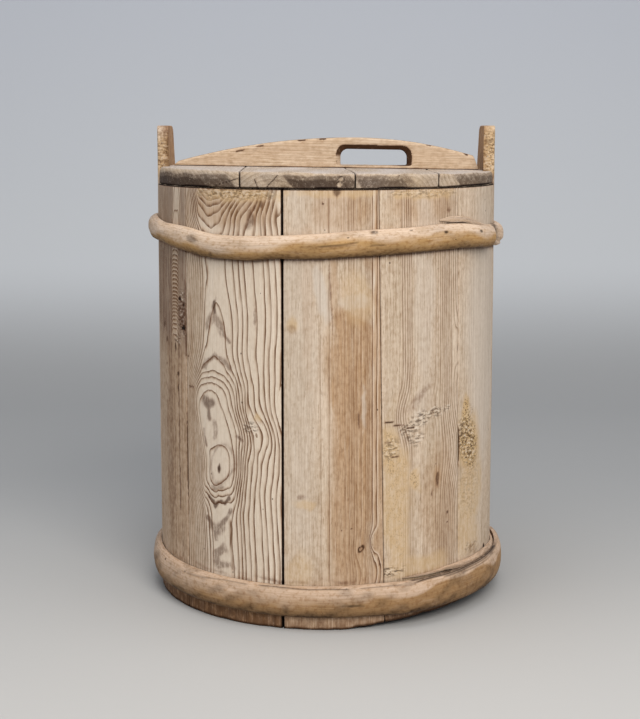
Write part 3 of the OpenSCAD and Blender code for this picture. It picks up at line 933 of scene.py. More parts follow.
STAVES: tuple[StavePlan, ...] = (
    StavePlan("ear_stave_left", (-90 - EAR_AZ,) * 2, (EAR_AZ - 90,) * 2, hidden_figure(3, -332),
        marked((WORM, -300, 540, 30, 30, 0.8), (STAIN, -332, 300, 20, 160, 0.25),
            (STAIN, -300, 545, 40, 60, 0.16), (CHIP, -300, 550, 12, 26, 0.6)),
        ear=True),
    StavePlan("stave_left_front", (EAR_AZ - 90,) * 2, (-51.5,) * 2, LEFT_FIGURE,
        marked((STAIN, -201, 361, 9, 22, 0.5), (CHIP, -200, 358, 11, 26, 1),
            (STAIN, -204, 377, 4, 3.5, 0.97, 0, 0.2), (STAIN, -197, 343, 5, 3.5, 1, 0, 0.2),
            (STAIN, -195, 371, 3, 3, 0.95, 0, 0.2), (CHIP, -210, 328, 8, 8, 1),
            (STAIN, -216.5, 318, 2.5, 8, 0.85), (STAIN, -211, 286, 2, 4, 0.9), (STAIN, -210.5, 269, 2, 6, 0.85),
            (STAIN, ((-207.8, 330), (-208.9, 278), (-209.1, 217), (-208, 120)), 1.5, 0.7),
            (STAIN, ((-192.8, 400), (-192.1, 311)), 2.4, 0.55),
            (STAIN, ((-222, 330), (-221, 200), (-222, 60)), 1.4, 0.5),
            (STAIN, ((-229, 440), (-230, 300), (-229, 80)), 1.8, 0.5),
            (STAIN, ((-238, 436), (-236, 380), (-238, 290)), 2.2, 0.5),
            (STAIN, ((-246, 430), (-248, 350), (-246, 150)), 1.8, 0.45),
            (STAIN, ((-203, 320), (-202, 220), (-203, 60)), 1.2, 0.45),
            (STAIN, ((-197, 438), (-198, 400)), 1.4, 0.5), (STAIN, ((-260, 430), (-260, 330)), 3, 0.45),
            (STAIN, -234, 180, 13, 160, 0.42), (GREY, -262, 260, 22, 300, 0.2),
            (STAIN, -245, 215, 70, 230, 0.17, 0, 0.35, 6), (WARM, -240, 250, 60, 300, 0.5, 0, 0.35, 4),
            (STAIN, -255, 342, 5, 7, 0.7), (STAIN, -245, 324, 4, 4, 0.7), (STAIN, -290, 375, 6, 22, 0.6),
            (STAIN, -191, 190, 1.6, 60, 0.6), (WARM, -220, 120, 40, 110, 0.4)),
        cell=1.6),
    StavePlan("stave_front_left", (-51.5,) * 2, (-13.5,) * 2, HERO_FIGURE,
        marked((STAIN, ((-139.2, 379), (-138.5, 367)), 2.9, 0.75),
            (STAIN, ((-148.7, 352), (-139.3, 363), (-129.6, 349.6)), 6, 0.5),
            (STAIN, ((-129.6, 349.6), (-123, 340.5), (-117, 333.8)), 2.6, 0.56),
            (STAIN, ((-160, 300), (-152.6, 308.4), (-140, 315), (-130, 313.7), (-117.3, 304.6)), 3.6, 0.56),
            (STAIN, ((-154, 262), (-149, 258), (-143, 260)), 7.3, 0.67),
            (STAIN, ((-150.3, 257), (-148.8, 242)), 3.4, 0.62),
            (STAIN, ((-140, 237), (-137.3, 228.7), (-140.2, 219)), 3.6, 0.45),
            (STAIN, ((-158, 228), (-157, 220), (-153.8, 208)), 2.6, 0.56),
            (STAIN, ((-106.5, 225), (-100, 219.7)), 2.6, 0.67),
            (STAIN, -131.5, 189, 20, 31, 0.45, 0.2, 0.1, 2, True), (STAIN, -133.8, 183, 3.2, 5, 0.85),
            (STAIN, ((-146, 160), (-141, 156.6), (-133, 159.7), (-126.6, 161)), 2.4, 0.5),
            (STAIN,
                ((-150.4, 146.8), (-143.4, 142), (-140.3, 135), (-136.3, 141.6), (-131.6, 144), (-125, 142),
                    (-120.4, 148.6)),
                2.6, 0.73),
            (STAIN,
                ((-152, 120.6), (-143.8, 111.4), (-139.4, 104.5), (-132, 115), (-123.2, 124), (-116.6, 135.6)),
                3.9, 0.62),
            (STAIN, ((-144, 112), (-138, 107), (-133, 112)), 6.7, 0.56),
            (STAIN, ((-140.6, 104), (-138.7, 95.5)), 3.6, 0.56),
            (STAIN, ((-127.2, 91.4), (-125.4, 85.6)), 3.4, 0.45),
            (STAIN, ((-141, 81.3), (-132.3, 81.4), (-127.3, 86.8)), 4.2, 0.56),
            (STAIN, ((-137, 77.4), (-138, 66.5), (-123.7, 67.6)), 5.4, 0.56),
            (STAIN, ((-118.2, 70), (-114.7, 66)), 4.2, 0.45), (STAIN, -82.6, 365, 2.4, 14, 0.5),
            (STAIN, -88.5, 474, 6, 13, 0.62), (STAIN, -82, 490, 2.6, 9, 0.55, 0.5), (STAIN, -75, 493, 3, 5, 0.6),
            (STAIN, -186, 311, 2, 1.8, 0.8), (CHIP, -105, 504, 60, 7, 0.6), (CHIP, -88, 237, 9, 9, 0.7),
            (STAIN, -181, 275, 7, 2, 0.7, 0.4), (WORM, -105, 503, 62, 9, 0.6), (WORM, -80, 249, 5, 5, 0.6),
            (WARM, -182, 200, 9, 200, 0.25), (WARM, -120, 490, 80, 26, 0.6), (STAIN, -150, 30, 60, 16, 0.3)),
        gaps=(0.4, 2), cell=1.25),
    StavePlan("stave_front", (-13.5,) * 2, (16.4, 19), FRONT_FIGURE,
        marked((GREY, -30, 330, 24, 260, 0.4), (GREY, 0, 470, 40, 40, 0.3),
            (WARM, 31, 180, 29, 200, 0.75, 0, 0.35, 5), (WARM, 33, 260, 25, 118, 0.8, 0, 0.12, 7),
            (WARM, 9, 395, 5, 60, 0.45), (STAIN, 6, 385, 1.2, 50, 0.5, -0.06), (GREY, -6, 395, 8, 38, 0.9, -0.2),
            (GREY, 44, 262, 3, 26, 0.6), (GREY, 34, 384, 20, 9, 0.7), (WARM, 63, 270, 9, 330, 0.65, 0, 0.35, 5),
            (WARM, 20, 486, 40, 22, 0.6), (WARM, -20, 400, 7, 120, 0.3), (WORM, -38, 357, 7, 10, 0.5),
            (STAIN, -38, 352, 6, 6, 0.35), (STAIN, -28, 159, 7, 3.5, 0.45), (WORM, -24, 150, 12, 6, 0.5),
            (STAIN, 41.2, 96.8, 3.6, 3.4, 1, 0, 0.35, 2, True), (STAIN, 63.5, 78, 1.3, 8, 0.85, -0.3),
            (STAIN, 12.4, 507, 4.5, 6, 0.7), (STAIN, 18.6, 120, 1.2, 1.2, 0.9), (STAIN, 29.6, 121, 1.4, 1.2, 0.9),
            (WORM, 34, 386, 18, 42, 0.3), (STAIN, 38, 249, 1.8, 12, 0.6), (STAIN, -3, 494, 1.6, 1.6, 0.9),
            (WORM, -30, 70, 16, 24, 0.35), (WORM, 12, 506, 54, 6, 0.5)),
        gaps=(2, 0.4), cell=1.3, foot_stain_and_shade=0.44, foot_warm=0.62),
    StavePlan("stave_front_right", (16.4, 19), (46.8, 49.2), FRONT_RIGHT_FIGURE,
        marked((GREY, 120, 400, 16, 150, 0.5), (STAIN, 112, 269, 9, 18, 0.42, 1), (STAIN, 128, 330, 16, 120, 0.1),
            (STAIN, 104, 259, 7, 7, 0.22), (CHIP, 103, 236, 13, 8, 0.9), (CHIP, 118, 246, 13, 9, 0.9),
            (CHIP, 138, 251, 14, 7, 0.85), (CHIP, 155, 253, 8, 5, 0.7), (CHIP, 108, 223, 11, 8, 0.8),
            (CHIP, 77, 211, 11, 14, 0.65), (CHIP, 78, 67, 15, 6, 1), (WORM, 84, 150, 20, 86, 0.6, -0.05),
            (WORM, 108, 172, 9, 14, 0.75), (WORM, 76, 210, 12, 34, 0.7), (WORM, 112, 66, 48, 20, 0.5),
            (WARM, 146, 130, 32, 80, 0.4), (STAIN, 74, 244.6, 6.5, 1.2, 0.97, 0, 0.2),
            (STAIN, 85, 239.8, 6.5, 1.1, 0.9, 0, 0.2), (STAIN, 102, 235.6, 6, 1.2, 0.9, 0, 0.2),
            (STAIN, 73, 220, 5, 1.2, 0.7, 0, 0.2), (STAIN, 82, 203, 6, 1.4, 0.8, 0, 0.2),
            (STAIN, 141.6, 170, 3.6, 13, 0.72, 0, 0.35, 1.2), (WARM, 141.6, 170, 8, 18, 0.7),
            (STAIN, 133, 153, 1.6, 4, 0.7), (STAIN, 158.6, 126.5, 1.4, 3, 0.9),
            (STAIN, 158.8, 114.5, 1.4, 1.6, 0.9), (WORM, 120, 504, 52, 7, 0.6), (CHIP, 120, 505, 50, 5, 0.5),
            (WARM, 120, 490, 50, 20, 0.45), (STAIN, 156, 484, 4, 3, 0.6), (STAIN, 176, 322, 2, 7, 0.8)),
        cell=1.6, foot_stain_and_shade=0.62, foot_warm=0.75),
    StavePlan("stave_right_front", (46.8, 49.2), (90 - EAR_AZ,) * 2, RIGHT_FIGURE,
        marked((WORM, 193, 233, 11, 26, 1), (WORM, 203, 200, 27, 40, 1, -0.15), (WORM, 205, 145, 33, 50, 0.6),
            (WORM, 199, 92, 29, 36, 0.5), (WARM, 203, 195, 24, 30, 0.4, -0.15),
            (CHIP, 199, 206, 21, 34, 1, -0.15), (CHIP, 210, 72, 20, 8, 0.45), (GREY, 240, 330, 50, 200, 0.8),
            (STAIN, 215, 70, 12, 12, 0.3), (STAIN, 252, 61, 5, 5, 1), (STAIN, 179, 205, 2.2, 24, 0.7),
            (CHIP, 204, 150, 26, 40, 0.22), (STAIN, 196, 212, 14, 22, 0.1)),
        cell=1.6),
    StavePlan("ear_stave_right", (90 - EAR_AZ,) * 2, (90 + EAR_AZ,) * 2, hidden_figure(8, 332),
        marked((WORM, 302, 545, 26, 34, 0.8), (STAIN, 300, 514, 14, 10, 0.5), (CHIP, 302, 545, 14, 30, 0.6)),
        ear=True),
    StavePlan("stave_right_back", (90 + EAR_AZ,) * 2, (131.0,) * 2, hidden_figure(5, 428),
        marked((GREY, 420, 300, 30, 200, 0.6), (WORM, 440, 90, 30, 50, 0.6))),
    StavePlan("stave_back_right", (131.0,) * 2, (166.0,) * 2, hidden_figure(12, 548),
        marked((WARM, 540, 260, 26, 240, 0.6), (STAIN, 566, 400, 8, 26, 0.4))),
    StavePlan("stave_back", (166.0,) * 2, (196.0,) * 2, hidden_figure(7, 668),
        marked((GREY, 650, 330, 24, 200, 0.7), (STAIN, 690, 150, 5, 12, 0.7))),
    StavePlan("stave_back_left", (196.0,) * 2, (229.0,) * 2, hidden_figure(9, 785),
        marked((WORM, 800, 210, 20, 60, 0.7), (GREY, 760, 380, 22, 130, 0.6))),
    StavePlan("stave_left_back", (229.0,) * 2, (270 - EAR_AZ,) * 2, hidden_figure(14, 900),
        marked((WARM, 890, 180, 30, 170, 0.5), (STAIN, 915, 340, 8, 30, 0.5))))


@dataclass(frozen=True)
class StavePoints:
    """Where the points of a stave lie, with an entry for each; lowest is the height of the worn foot there."""

    az: Values
    s: Values
    z: Values
    r: Values
    u: Values
    side: Values
    deep: Values
    lowest: Values


@dataclass
class Tub:
    """The twelve staves and the bottom that is let into them."""

    thick: float = 14.0
    ear_top_w: float = 55.0
    ear_corner_r: float = 10.0
    croze_low: float = 35.5
    croze_high: float = 44.5
    croze_deep: float = 6.0
    worn_foot: float = 10.5
    worn_az: float = 52.0
    worn_reach: float = 47.0
    foot_reach: float = 30.0
    arris_r: float = 1.5
    brow_r: float = 1.8
    foot_r: float = 1.6
    inner_arris_r: float = 0.6
    inner_brow_r: float = 1.2
    skin: float = 0.06
    brown_ends: tuple[float, float] = (20.0, 34.0)
    brown_most: float = 0.86
    warm_ends: tuple[float, float] = (20.0, 36.0)
    figure_starts: tuple[float, float] = (24.0, 40.0)
    dirt_z: float = 57.0
    dirt_h: float = 4.5
    seed: int = 100
    layers: tuple[float, ...] = (0.0, 0.5, 0.9, 1.0)
    plans: tuple[StavePlan, ...] = STAVES
    bottom_nodes: tuple[str, ...] = ("bottom_board_left", "bottom_board_mid_left", "bottom_board_mid_right",
                                     "bottom_board_right")

    def foot(self, az: Values) -> Values:
        """Height of the worn foot above the floor at an azimuth."""
        start = BASE_R * math.cos(math.radians(self.worn_reach))
        past = BASE_R * np.cos(np.radians(az - self.worn_az)) - start
        return np.maximum(0, past) * self.worn_foot / (BASE_R - start)

    def ear_half(self, z: Values) -> Values:
        """Half the width of an ear at a height above the rim."""
        lean = math.atan((EAR_W - self.ear_top_w) / 2 / EAR_RISE)
        corner_z = EAR_RISE - self.ear_corner_r
        corner_y = EAR_W / 2 - corner_z * math.tan(lean) - self.ear_corner_r / math.cos(lean)
        up = np.clip(z - TUB_HIGH, 0, EAR_RISE)
        side = EAR_W / 2 - up * math.tan(lean)
        above = np.clip(up - corner_z, 0, self.ear_corner_r)
        corner = corner_y + np.sqrt(np.maximum(0, self.ear_corner_r**2 - above**2))
        return np.where(up > corner_z + self.ear_corner_r * math.sin(lean), corner, side)

    def levels(self, top: float, cell: float) -> Values:
        """Heights of the rows of a stave, with a pair at each lip of the groove for the bottom."""
        rows = stations(top, cell * 1.35, (0.4, 1.0, 2.0))
        lips = [lip + step for lip in (self.croze_low, self.croze_high) for step in (-0.05, 0.05)]
        rows = rows[np.min(np.abs(rows[:, None] - np.array(lips)), axis=1) > 0.4]
        return np.sort(np.concatenate([rows, lips]))

    def stave(self, plan: StavePlan, seed: int) -> Piece:
        """Models one stave.

        Args:
            plan: Its seams, figure and marks.
            seed: Picks its unevenness.

        Returns:
            The finished mesh with its figure and marks.
        """
        top = TUB_HIGH + EAR_RISE if plan.ear else TUB_HIGH
        wide = math.radians(plan.right[0] - plan.left[0]) * FACE_RADIUS
        across = stations(wide, plan.cell, (0.25, 0.7, 1.4, 2.4)) / wide
        rows = self.levels(top, plan.cell)
        piece, (i, j, k) = blank(plan.name, len(across) - 1, len(rows) - 1, len(self.layers) - 1)
        u, z, deep = across[i], rows[j], 1 - np.array(self.layers)[k]

        up = np.minimum(z, TUB_HIGH) / TUB_HIGH
        margin = np.degrees(np.array(plan.gaps) / 2 / FACE_RADIUS)
        left = mix(plan.left[1], plan.left[0], up) + margin[0]
        right = mix(plan.right[1], plan.right[0], up) - margin[1]
        r = face_r(z) - deep * self.thick
        if plan.ear:
            middle = (left + right) / 2
            half = np.minimum((right - left) / 2, np.degrees(np.arcsin(self.ear_half(z) / r)))
            half = np.where(z > TUB_HIGH, half, (right - left) / 2)
            left, right = middle - half, middle + half
        az = mix(left, right, u)
        s = np.radians(az) * FACE_RADIUS
        side = np.minimum(u, 1 - u) * np.radians(right - left) * r
        brow = top - z

        uneven = 0.2 * (1 + wander(seed, (s, 26.0), (z, 130.0)))
        uneven = uneven + 0.08 * (1 + wander(seed + 50, (s, 7.0), (z, 30.0)))
        hollow = worn(side, self.arris_r) + worn(brow, self.brow_r) + worn(z, self.foot_r) + np.clip(uneven, 0, 0.9)
        r = np.where(deep == 0, r - self.skin - hollow, r)
        inner = deep == 1
        groove = inner & (z > self.croze_low) & (z < self.croze_high)
        r = np.where(inner, r + self.skin + worn(side, self.inner_arris_r) + worn(brow, self.inner_brow_r), r)
        r = np.where(groove, r + self.croze_deep, r)

        chips = np.clip(wander(seed + 9, (s, 9.0), (r, 20.0)), 0, 1)
        lowest = self.foot(az) + 0.9 * chips + 0.05
        z = z + lowest * (1 - ease(0, self.foot_reach, z))
        z = np.where(brow < 0.01, z - 0.25 * chips, z)
        set_out(piece, *round_tub(az, r, z))
        self.weather(piece, plan, seed, StavePoints(az, s, z, r, u, side, deep, lowest))
        return piece

    def weather(self, piece: Piece, plan: StavePlan, seed: int, at: StavePoints) -> None:
        """Paints the figure and the marks of a stave, with painted shade at the foot, under the lid, below the upper
        hoop and in the seams.

        Args:
            piece: The stave.
            plan: Its figure and marks.
            seed: Picks its unevenness.
            at: Where its points lie.
        """
        s, z, outside = at.s, at.z, at.deep == 0
        depth = np.maximum(0, face_r(z) - at.r)
        marks = np.zeros((len(z), len(Mark)))

        def lay(kind: Mark, strength: Values) -> None:
            """Adds to a kind of mark where it is stronger than what is there."""
            marks[:, kind.value] = np.maximum(marks[:, kind.value], strength)

        for number, patch in enumerate(plan.patches):
            lay(patch.kind, patch.lay(s, z, seed * 31 + number))
        inside = ease(5, 12, depth)
        ear = ease(TUB_HIGH - 2, TUB_HIGH + 6, z)
        lay(GREY, 0.55 * inside * (1 - ear))
        lay(WARM, 0.9 * inside * ear)
        lay(WARM, plan.foot_warm * (1 - ease(*self.warm_ends, z)))

        # Brown stain and painted shade at the foot, dirt above the lower hoop, painted shadow under the lid and below
        # the upper hoop, and painted shade in the seams
        # Foot: brown stain with painted shade, darkest just above the floor where painted contact shade lies
        foot_soak_and_shade = plan.foot_stain_and_shade + 0.06 * wander(seed + 3, (s, 3.4), (z, 30.0)) + 0.5 * (1 - ease(1, 4, z - at.lowest))
        lay(STAIN, np.clip((1 - ease(*self.brown_ends, z)) * foot_soak_and_shade, 0, self.brown_most))
        dirt = np.clip(0.4 + 0.6 * wander(seed + 5, (s, 13.0), (z, 4.0)), 0, 1)
        lay(STAIN, 0.6 * bell(z - self.dirt_z, self.dirt_h) * dirt)
        # Painted shadow under the lid, along the top of the staves
        lay(STAIN, np.where(plan.ear, 0.0, 1 - ease(1.4, 2.2, TUB_HIGH - z)) * outside)
        # Painted shadow below the upper hoop
        under = UPPER_HOOP.run((at.az + 180) % 360 - 180)
        lay(STAIN, 0.8 * bell(z - (under[0] - under[1] / 2 - 0.5), 3.2) * outside)
        # Dark along the seams: painted shade in the joint, strongest where a seam stands open
        open_side = np.where(at.u < 0.5, *plan.gaps) > 1
        seam = bell(at.side, 0.8) * np.where(open_side, 0.9, 0.18)
        seam = seam + bell(at.side, 0.2) * ease(0.8, 2.5, depth) * (z < TUB_HIGH - 2)
        marks[:, STAIN.value] = marks[:, STAIN.value] + seam + 0.3 * inside
        ring = plan.figure.rings(s, z, depth, seed)
        step = 0.5
        sideways = plan.figure.rings(s + step, z, depth, seed) - ring
        upwards = plan.figure.rings(s, z + step, depth, seed) - ring
        pace = np.clip(np.hypot(sideways, upwards) / step, 0.02, 2)
        shown = plan.figure.shown(ring, s, z) * mix(0.25, 1, ease(*self.figure_starts, z)) * (1 - 0.5 * inside)
        paint(piece, ring=ring, pace=pace, shown=shown, marks=np.clip(marks[:, :4], 0, 1), chips=marks[:, CHIP.value])

    def build(self) -> None:
        """Models and dresses every stave, and gives the bottom boards and all dowels their wood."""
        material = STAVE_PINE.material()
        for number, plan in enumerate(self.plans):
            fit(self.stave(plan, self.seed + number), plan.name, "tub", material)
        bottom, dowel = BOTTOM_PINE.material(), DOWEL_PINE.material()
        for node in self.bottom_nodes:
            self.dress(node, bottom)
        self.dress("bottom_dowels", dowel)
        self.dress("lid_dowels", dowel)

    @staticmethod
    def dress(node: str, material: Material) -> None:
        """Gives a CAD node its finish."""
        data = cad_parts[node].data
        data.materials.clear()
        data.materials.append(material)
        log.info("%s: dressed", node)


@dataclass
class Hoop:
    """A split branch bent round the tub; its thin tail is tucked in behind the nose of its own run."""

    name: str
    mid_z: float
    high: float
    thick: float
    waves: tuple[float, float]
    tail: float
    clear: float
    nose: float
    poke: float
    tail_h: float
    swell: tuple[float, float]
    sink: tuple[float, float]
    edges: tuple[tuple[float, float, float], ...]
    peel: Points
    peel_soft: Points = ((-84, 24), (84, 24))
    grime: float = 0.16
    patches: Marks = ()
    knots: tuple[tuple[float, float, float, float], ...] = ()
    cracks: tuple[tuple[float, float, float, float, float], ...] = ()
    seed: int = 1
    tail_t: float = 4.4
    lock_gap: float = 0.6
    hoop_gap: float = 0.25
    stand_off: float = 14.0
    tip_az: float = 6.0
    tip_size: float = 0.35
    cell: float = 1.9
    rows: int = 56
    back_rows: int = 8
    lip: float = 0.7
    roundness: float = 0.8
    unevenness: float = 0.085
    crack_turn: float = 4.2
    crack_deep: float = 1.6
    least: float = 0.5

    def run(self, az: Values) -> tuple[Values, Values]:
        """Middle and height of the run at an azimuth, as the photograph shows it in front.

        Args:
            az: Azimuth from -180 to 180.

        Returns:
            Height of the middle, and height of the branch.
        """
        turn = np.radians(az)
        middle = self.mid_z - self.waves[0] * np.cos(2 * turn) + self.waves[1] * np.sin(3 * turn)
        seen = 1 - ease(60, 84, np.abs(az))
        low = smooth_through([(a, b) for a, b, _ in self.edges])(az)
        top = smooth_through([(a, c) for a, _, c in self.edges])(az)
        return mix(middle, (low + top) / 2, seen), mix(self.high, top - low, seen)

    def blemishes(self, az: Values, turn: Values, along: Values) -> tuple[Values, Values, Values]:
        """Knots and drying cracks of the run.

        Args:
            az: Azimuth of each point.
            turn: Its turn round the section.
            along: Its distance along the branch.

        Returns:
            How far the knots stand out, how dark they are, and how deep the cracks are.
        """
        bulge, dark, deep = np.zeros((3, len(az)))
        for knot_az, knot_turn, size, rise in self.knots:
            away = np.hypot(np.radians(az - knot_az) * BASE_R, np.radians(turn - knot_turn) * self.thick)
            bulge = bulge + rise * bell(away, size * 1.3)
            dark = np.maximum(dark, 0.85 * bell(away, size))
        for az0, turn0, az1, turn1, strength in self.cracks:
            t = (az - az0) / (az1 - az0)
            off = np.abs(turn - mix(turn0, turn1, np.clip(t, 0, 1)) - 3 * wander(self.seed + 7, (along, 20.0)))
            ends = ease(0, 0.06, t) * ease(0, 0.06, 1 - t)
            deep = np.maximum(deep, strength * bell(off, self.crack_turn) * ends)
        return bulge, dark, deep

    def build(self, material: Material) -> None:
        """Models the hoop, paints its marks and its painted shade, and fits it.

        Args:
            material: Its finish.
        """
        last = 360 + self.nose
        length = math.radians(last - self.tail) * (BASE_R + self.thick)
        columns = round(length / self.cell)
        turns = [*np.linspace(-90, 90, self.rows + 1), *np.linspace(90, -90, self.back_rows + 1), -90]
        outer = np.array([1.0] * (self.rows + 1) + [0.0] * (self.back_rows + 1) + [1.0])
        piece, (i, j) = rolled(self.name, columns, len(turns) - 1)
        run_az = mix(self.tail, last, i / columns)
        turn, k = np.array(turns)[j], outer[j]
        az = (run_az + 180) % 360 - 180
        middle, high = self.run(az)

        tip = mix(self.tip_size, 1, ease(0, self.tip_az, np.minimum(run_az - self.tail, last - run_az)))
        ring_h = mix(self.tail_h, high, ease(*self.swell, run_az))
        thin = self.tail_t * mix(self.tip_size, 1, ease(self.tail, self.tail + 30, run_az))
        ring_t = mix(thin, self.thick, ease(self.nose + 1, self.nose + 13, run_az))
        above = np.minimum(ring_h + self.lock_gap, self.poke) * (1 - ease(*self.sink, run_az))
        lift = (self.tail_t + self.lock_gap) * ease(self.clear - self.stand_off, self.clear, run_az - 360)
        sine, cosine = np.sin(np.radians(turn)), np.cos(np.radians(turn))
        z = middle + high / 2 + above - ring_h / 2 + tip * ring_h / 2 * sine
        along = np.radians(run_az) * BASE_R
        girth = np.radians(turn) * self.thick

        full = ease(self.nose + 1, self.nose + 16, run_az)
        lump = 0.7 * wander(self.seed, (along, 42.0), (girth, 16.0))
        lump = lump + 0.4 * wander(self.seed + 1, (along, 13.0), (girth, 7.0))
        round_out = cosine**self.roundness * (1 - self.unevenness * full * (1 + lump))
        soiled = wander(self.seed + 2, (along, 30.0), (girth, 9.0))
        soiled = soiled + 0.6 * wander(self.seed + 5, (along, 9.0), (girth, 4.0))
        # Painted shade darkens the section towards its underside; the grime blotches are dirt
        stain = np.clip(1.0 - ease(-92, 4, turn) + self.grime * np.clip(soiled, -0.2, 1.2), 0, 0.97)
        run, start = run_az > 180, run_az < 180
        stain = stain + 0.25 * (1 - ease(-84, -66, az)) * run
        bulge, dark, deep = (part * run for part in self.blemishes(az, turn, along))
        stain = np.maximum(stain, dark)
        tail = np.where(start, 1 - ease(self.nose, self.nose + 3, run_az), 0)
        bare = np.where(start, 1 - ease(self.nose + 16, self.nose + 40, run_az), 0)
        shadow = np.where(run, ease(self.tail, self.tail + 3, az) * (1 - ease(*self.sink, az)), 0)
        shadow = np.maximum(0.9 * shadow * ease(68, 78, turn), 0.9 * tail * (1 - ease(-84, -50, turn)))
        # Painted shade in the gap at the nose: the end of the run and the lap just past it
        nose_gap_shade = np.maximum(bell(run_az - self.nose - 2.5, 3.0), ease(self.nose - 2.6, self.nose - 1.0, run_az - 360))
        stain = stain * (1 - 0.92 * bare) + 0.25 * tail * np.clip(soiled, 0, 1)
        stain = np.maximum.reduce([stain, shadow, 0.92 * nose_gap_shade])
        bulge = bulge + tail * 0.7 * wander(self.seed + 8, (along, 5.0), (girth, 3.0))
        bulge = bulge - 3.0 * (bare - tail) * bell(turn + 38, 12)
        reach = tip * (ring_t * round_out + self.lip + bulge * cosine) - self.crack_deep * deep
        reach = np.minimum(np.maximum(reach, self.least), tip * ring_t + 0.02)
        inside = face_r(z) + self.hoop_gap + lift

        edge = smooth_through(self.peel)(az) + 12 * wander(self.seed + 4, (along, 24.0), (girth, 14.0))
        warm = (1 - ease(-1, 1, (turn - edge) / smooth_through(self.peel_soft)(az))) * (1 - 0.9 * bare)
        marks = {STAIN: stain, WORM: deep, WARM: warm}
        for number, patch in enumerate(self.patches):
            laid = patch.lay(az, turn, self.seed * 17 + number) * run * k
            marks[patch.kind] = np.maximum(marks[patch.kind], laid)
        marks[STAIN] = np.clip(marks[STAIN] + 0.4 * (1 - k), 0, 1)
        marks[WORM] = np.clip(marks[WORM], 0, 0.9)
        paint(piece, marks=np.stack([*marks.values(), np.ones(len(z))], axis=1),
              grain=np.stack([along, girth + self.seed * 400, np.zeros(len(z))], axis=1) * MM)
        set_out(piece, *round_tub(az, inside + k * reach, z), roll=True)
        fit(piece, self.name, "tub", material)


UPPER_HOOP = Hoop("upper_hoop", 450, 28, 11.5, (2.2, 5), 38, 54, 69, 8, 7.5, (58, 80), (49, 66),
    edges=((-84, 446, 469), (-66, 442.6, 465.6), (-57, 438.5, 464.9), (-48, 434.4, 462.7), (-41, 431, 459),
        (-32, 429.8, 456.8), (-23, 429.7, 457.2), (-16, 432, 458.3), (-8, 432.6, 459.8), (0, 433.2, 461.4),
        (9, 435.3, 464.3), (16, 436, 465.3), (28, 438, 466.7), (37, 439, 468.8), (48, 439.6, 468.6),
        (56, 438.3, 465), (63, 437, 463.4), (84, 436, 462)),
    peel=((-84, -6), (-45, -12), (-14, 0), (0, 34), (12, 24), (30, 4), (50, 8), (69, 12), (84, 10)),
    patches=marked((STAIN, -44.6, 18, 2.6, 20, 0.6), (STAIN, -37, -44, 1.2, 16, 0.9),
        (WORM, 14.6, 57, 0.8, 9, 0.7, 0, 0.35, 2, True), (WORM, 38.4, 24, 0.9, 7, 0.9),
        (WORM, 53, 27, 0.8, 9, 0.85), (STAIN, 26, 54, 0.6, 6, 0.8), (STAIN, -1, -2, 8, 13, 0.38),
        (STAIN, 4, -4, 5, 5, 0.4), (STAIN, 15, -11, 3.2, 4, 0.45), (WARM, 36, 4, 6, 24, 0.8)),
    knots=((14, 58, 3, 0.4),), cracks=((-2.2, -3, 9.8, 9, 0.45), (13, -9, 18, -12, 0.3)), seed=21)
LOWER_HOOP = Hoop("lower_hoop", 35.5, 39, 10.5, (0.8, 1), 25, 27, 105, 5, 2.5, (33, 96), (70, 90),
    edges=((-84, 16, 54), (-60, 17, 54.5), (-40, 17, 54), (-20, 16.5, 53.5), (0, 16, 53.5), (15, 16, 54.5),
        (30, 16, 55.5), (45, 17, 56), (60, 17, 56), (84, 17, 55.5)),
    peel=((-84, 5), (-50, -5), (-20, 5), (5, 8), (20, 8), (28, 18), (36, 30), (44, 43), (55, 36), (67, 30),
        (84, 30)),
    peel_soft=((-84, 40), (-20, 40), (0, 36), (14, 18), (25, 8), (40, 8), (60, 8), (84, 8)), grime=0.34,
    patches=marked((STAIN, 8.4, -9, 2.2, 5, 0.7), (WORM, -50.2, 42, 0.5, 5, 0.6), (STAIN, -30, -46, 20, 22, 0.3),
        (STAIN, 52, -30, 12, 30, 0.35), (STAIN, 26, 62, 3, 12, 0.5), (WORM, 74, 84, 1.6, 10, 0.95)),
    knots=((61, -62, 8, 1.6), (-12, -38, 5, 0.3)),
    cracks=((-50, 40, -24, 62, 0.4), (-22, 66, 8, 58, 0.6), (10, 62, 24, 60, 0.45), (27, 64, 78, 80, 0.95),
        (38, 58, 76, 70, 0.7), (46, 47, 70, 60, 0.45), (4.5, -8, 12, -10, 0.4)),
    seed=37)


@dataclass(frozen=True)
class BoardPlan:
    """What sets one lid board apart: its seams along X at the front and the back, its heart and its marks."""

    name: str
    left: Optional[tuple[float, float]]
    right: Optional[tuple[float, float]]
    heart: tuple[float, float]
    dark: tuple[tuple[float, float, float], ...] = ()
    cracks: tuple[tuple[float, float, float, float], ...] = ()
    knots: tuple[tuple[float, float, float], ...] = ()


